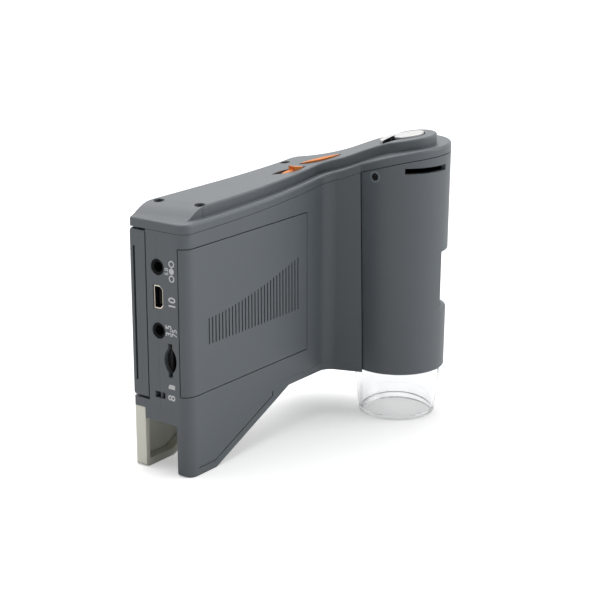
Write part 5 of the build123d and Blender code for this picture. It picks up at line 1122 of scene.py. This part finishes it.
class MICROSCOPE_OT_studio(bpy.types.Operator):
    """Make the floor, the lamps and the camera"""
    bl_idname = "microscope.studio"
    bl_label = "Studio"

    def execute(self, context):
        stage = context.scene.microscope_studio
        scene = context.scene
        scene.view_settings.view_transform = "Standard"
        self.make_floor(tuple(stage.floor), stage.lift)
        self.make_sky(scene, stage.sky, stage.mirrored)
        self.make_sun("overhead_light", stage.overhead, Vector(OVERHEAD_WAY), OVERHEAD_SPREAD)
        self.make_sun("front_light", stage.front, Vector(FRONT_WAY), FRONT_SPREAD)
        self.make_camera(scene, stage.lens)
        return {"FINISHED"}

    def make_floor(self, colour, lift):
        """A wide pale floor that is lifted to white only where it is looked at."""
        shape = bmesh.new()
        bmesh.ops.create_grid(shape, x_segments=1, y_segments=1, size=FLOOR_HALF)
        mesh = bpy.data.meshes.new("floor")
        shape.to_mesh(mesh)
        shape.free()
        floor = bpy.data.objects.new("floor", mesh)
        bpy.context.scene.collection.objects.link(floor)
        material, graph, surface = new_material("floor_white", {
            "Roughness": 0.9, "Specular IOR Level": 0.1, "Emission Color": (1.0, 1.0, 1.0, 1.0)})
        paper = effect(graph, "moulded_grain", Grain_Size=0.004, Patch_Size=0.4)
        graph.feed(
            surface,
            Base_Color=graph.blend(paper.outputs["Tone"], shade(colour, 0.995), colour),
            Emission_Strength=graph.spread(self.looked_at(graph), 0.0, lift))
        mesh.materials.append(material)

    def looked_at(self, graph):
        """1 for rays from the camera, straight or through something clear."""
        rays = graph.add("ShaderNodeLightPath")
        return graph.sum_up("MAXIMUM", rays.outputs["Is Camera Ray"], rays.outputs["Is Transmission Ray"])

    def make_sky(self, scene, level, mirrored):
        """An even white sky: plain white to the eye, with levels of its own for light and for gloss."""
        world = bpy.data.worlds.new("studio_sky")
        world.use_nodes = True
        graph = Graph(world.node_tree)
        rays = graph.add("ShaderNodeLightPath")
        unseen = graph.spread(rays.outputs["Is Glossy Ray"], level, mirrored)
        seen = self.looked_at(graph)
        rest = graph.sum_up("MULTIPLY", unseen, graph.sum_up("SUBTRACT", 1.0, seen))
        strength = graph.sum_up("ADD", seen, rest)
        sky = graph.add("ShaderNodeBackground", {"Color": (1.0, 1.0, 1.0, 1.0), "Strength": strength})
        graph.join(sky.outputs[0], graph.add("ShaderNodeOutputWorld").inputs["Surface"])
        scene.world = world

    def make_sun(self, name, strength, direction, spread):
        """A broad, soft lamp that shines one way."""
        lamp = bpy.data.lights.new(name, "SUN")
        lamp.energy = strength
        lamp.angle = math.radians(spread)
        holder = bpy.data.objects.new(name, lamp)
        holder.rotation_mode = "QUATERNION"
        holder.rotation_quaternion = direction.to_track_quat("-Z", "Y")
        bpy.context.scene.collection.objects.link(holder)

    def make_camera(self, scene, lens):
        """The camera, looking at the socket end and the battery door."""
        camera = bpy.data.cameras.new("camera")
        camera.lens = lens / MM
        camera.sensor_width = SENSOR_WIDTH
        holder = bpy.data.objects.new("camera", camera)
        turn = Matrix((CAMERA_RIGHT, CAMERA_UP, -Vector(CAMERA_FORWARD))).transposed()
        holder.matrix_world = Matrix.Translation(place(*CAMERA_PLACE)) @ turn.to_4x4()
        scene.collection.objects.link(holder)
        scene.camera = holder


class MICROSCOPE_PT_panel(bpy.types.Panel):
    """Lists the microscope's finishes and fittings"""
    bl_idname = "MICROSCOPE_PT_panel"
    bl_label = "Microscope"
    bl_space_type = "VIEW_3D"
    bl_region_type = "UI"
    bl_category = "Microscope"

    def draw(self, context):
        for operator in OPERATORS:
            self.layout.operator(operator.bl_idname)
        for name in SETTINGS:
            group = getattr(context.scene, name)
            box = self.layout.box()
            for field in group.bl_rna.properties.keys():
                if field not in ("rna_type", "name"):
                    box.prop(group, field)


SETTINGS = {
    "microscope_housing": HousingFinish,
    "microscope_controls": ControlFinish,
    "microscope_optics": OpticsFinish,
    "microscope_print": PrintSizes,
    "microscope_studio": StudioSettings,
}
OPERATORS = (
    MICROSCOPE_OT_housing, MICROSCOPE_OT_dark_parts, MICROSCOPE_OT_controls, MICROSCOPE_OT_metalwork,
    MICROSCOPE_OT_optics, MICROSCOPE_OT_electrics, MICROSCOPE_OT_screws, MICROSCOPE_OT_port_marks,
    MICROSCOPE_OT_key_marks, MICROSCOPE_OT_studio)


def register():
    """Registers the settings, the operators and the panel."""
    for group in (*SETTINGS.values(), *OPERATORS, MICROSCOPE_PT_panel):
        bpy.utils.register_class(group)
    for name, group in SETTINGS.items():
        setattr(bpy.types.Scene, name, PointerProperty(type=group))


def unregister():
    """Takes them out again."""
    for name in SETTINGS:
        delattr(bpy.types.Scene, name)
    for group in reversed((*SETTINGS.values(), *OPERATORS, MICROSCOPE_PT_panel)):
        bpy.utils.unregister_class(group)


def main():
    """Runs every operator in order."""
    register()
    for operator in OPERATORS:
        area, name = operator.bl_idname.split(".")
        getattr(getattr(bpy.ops, area), name)()


if __name__ == "__main__":
    main()
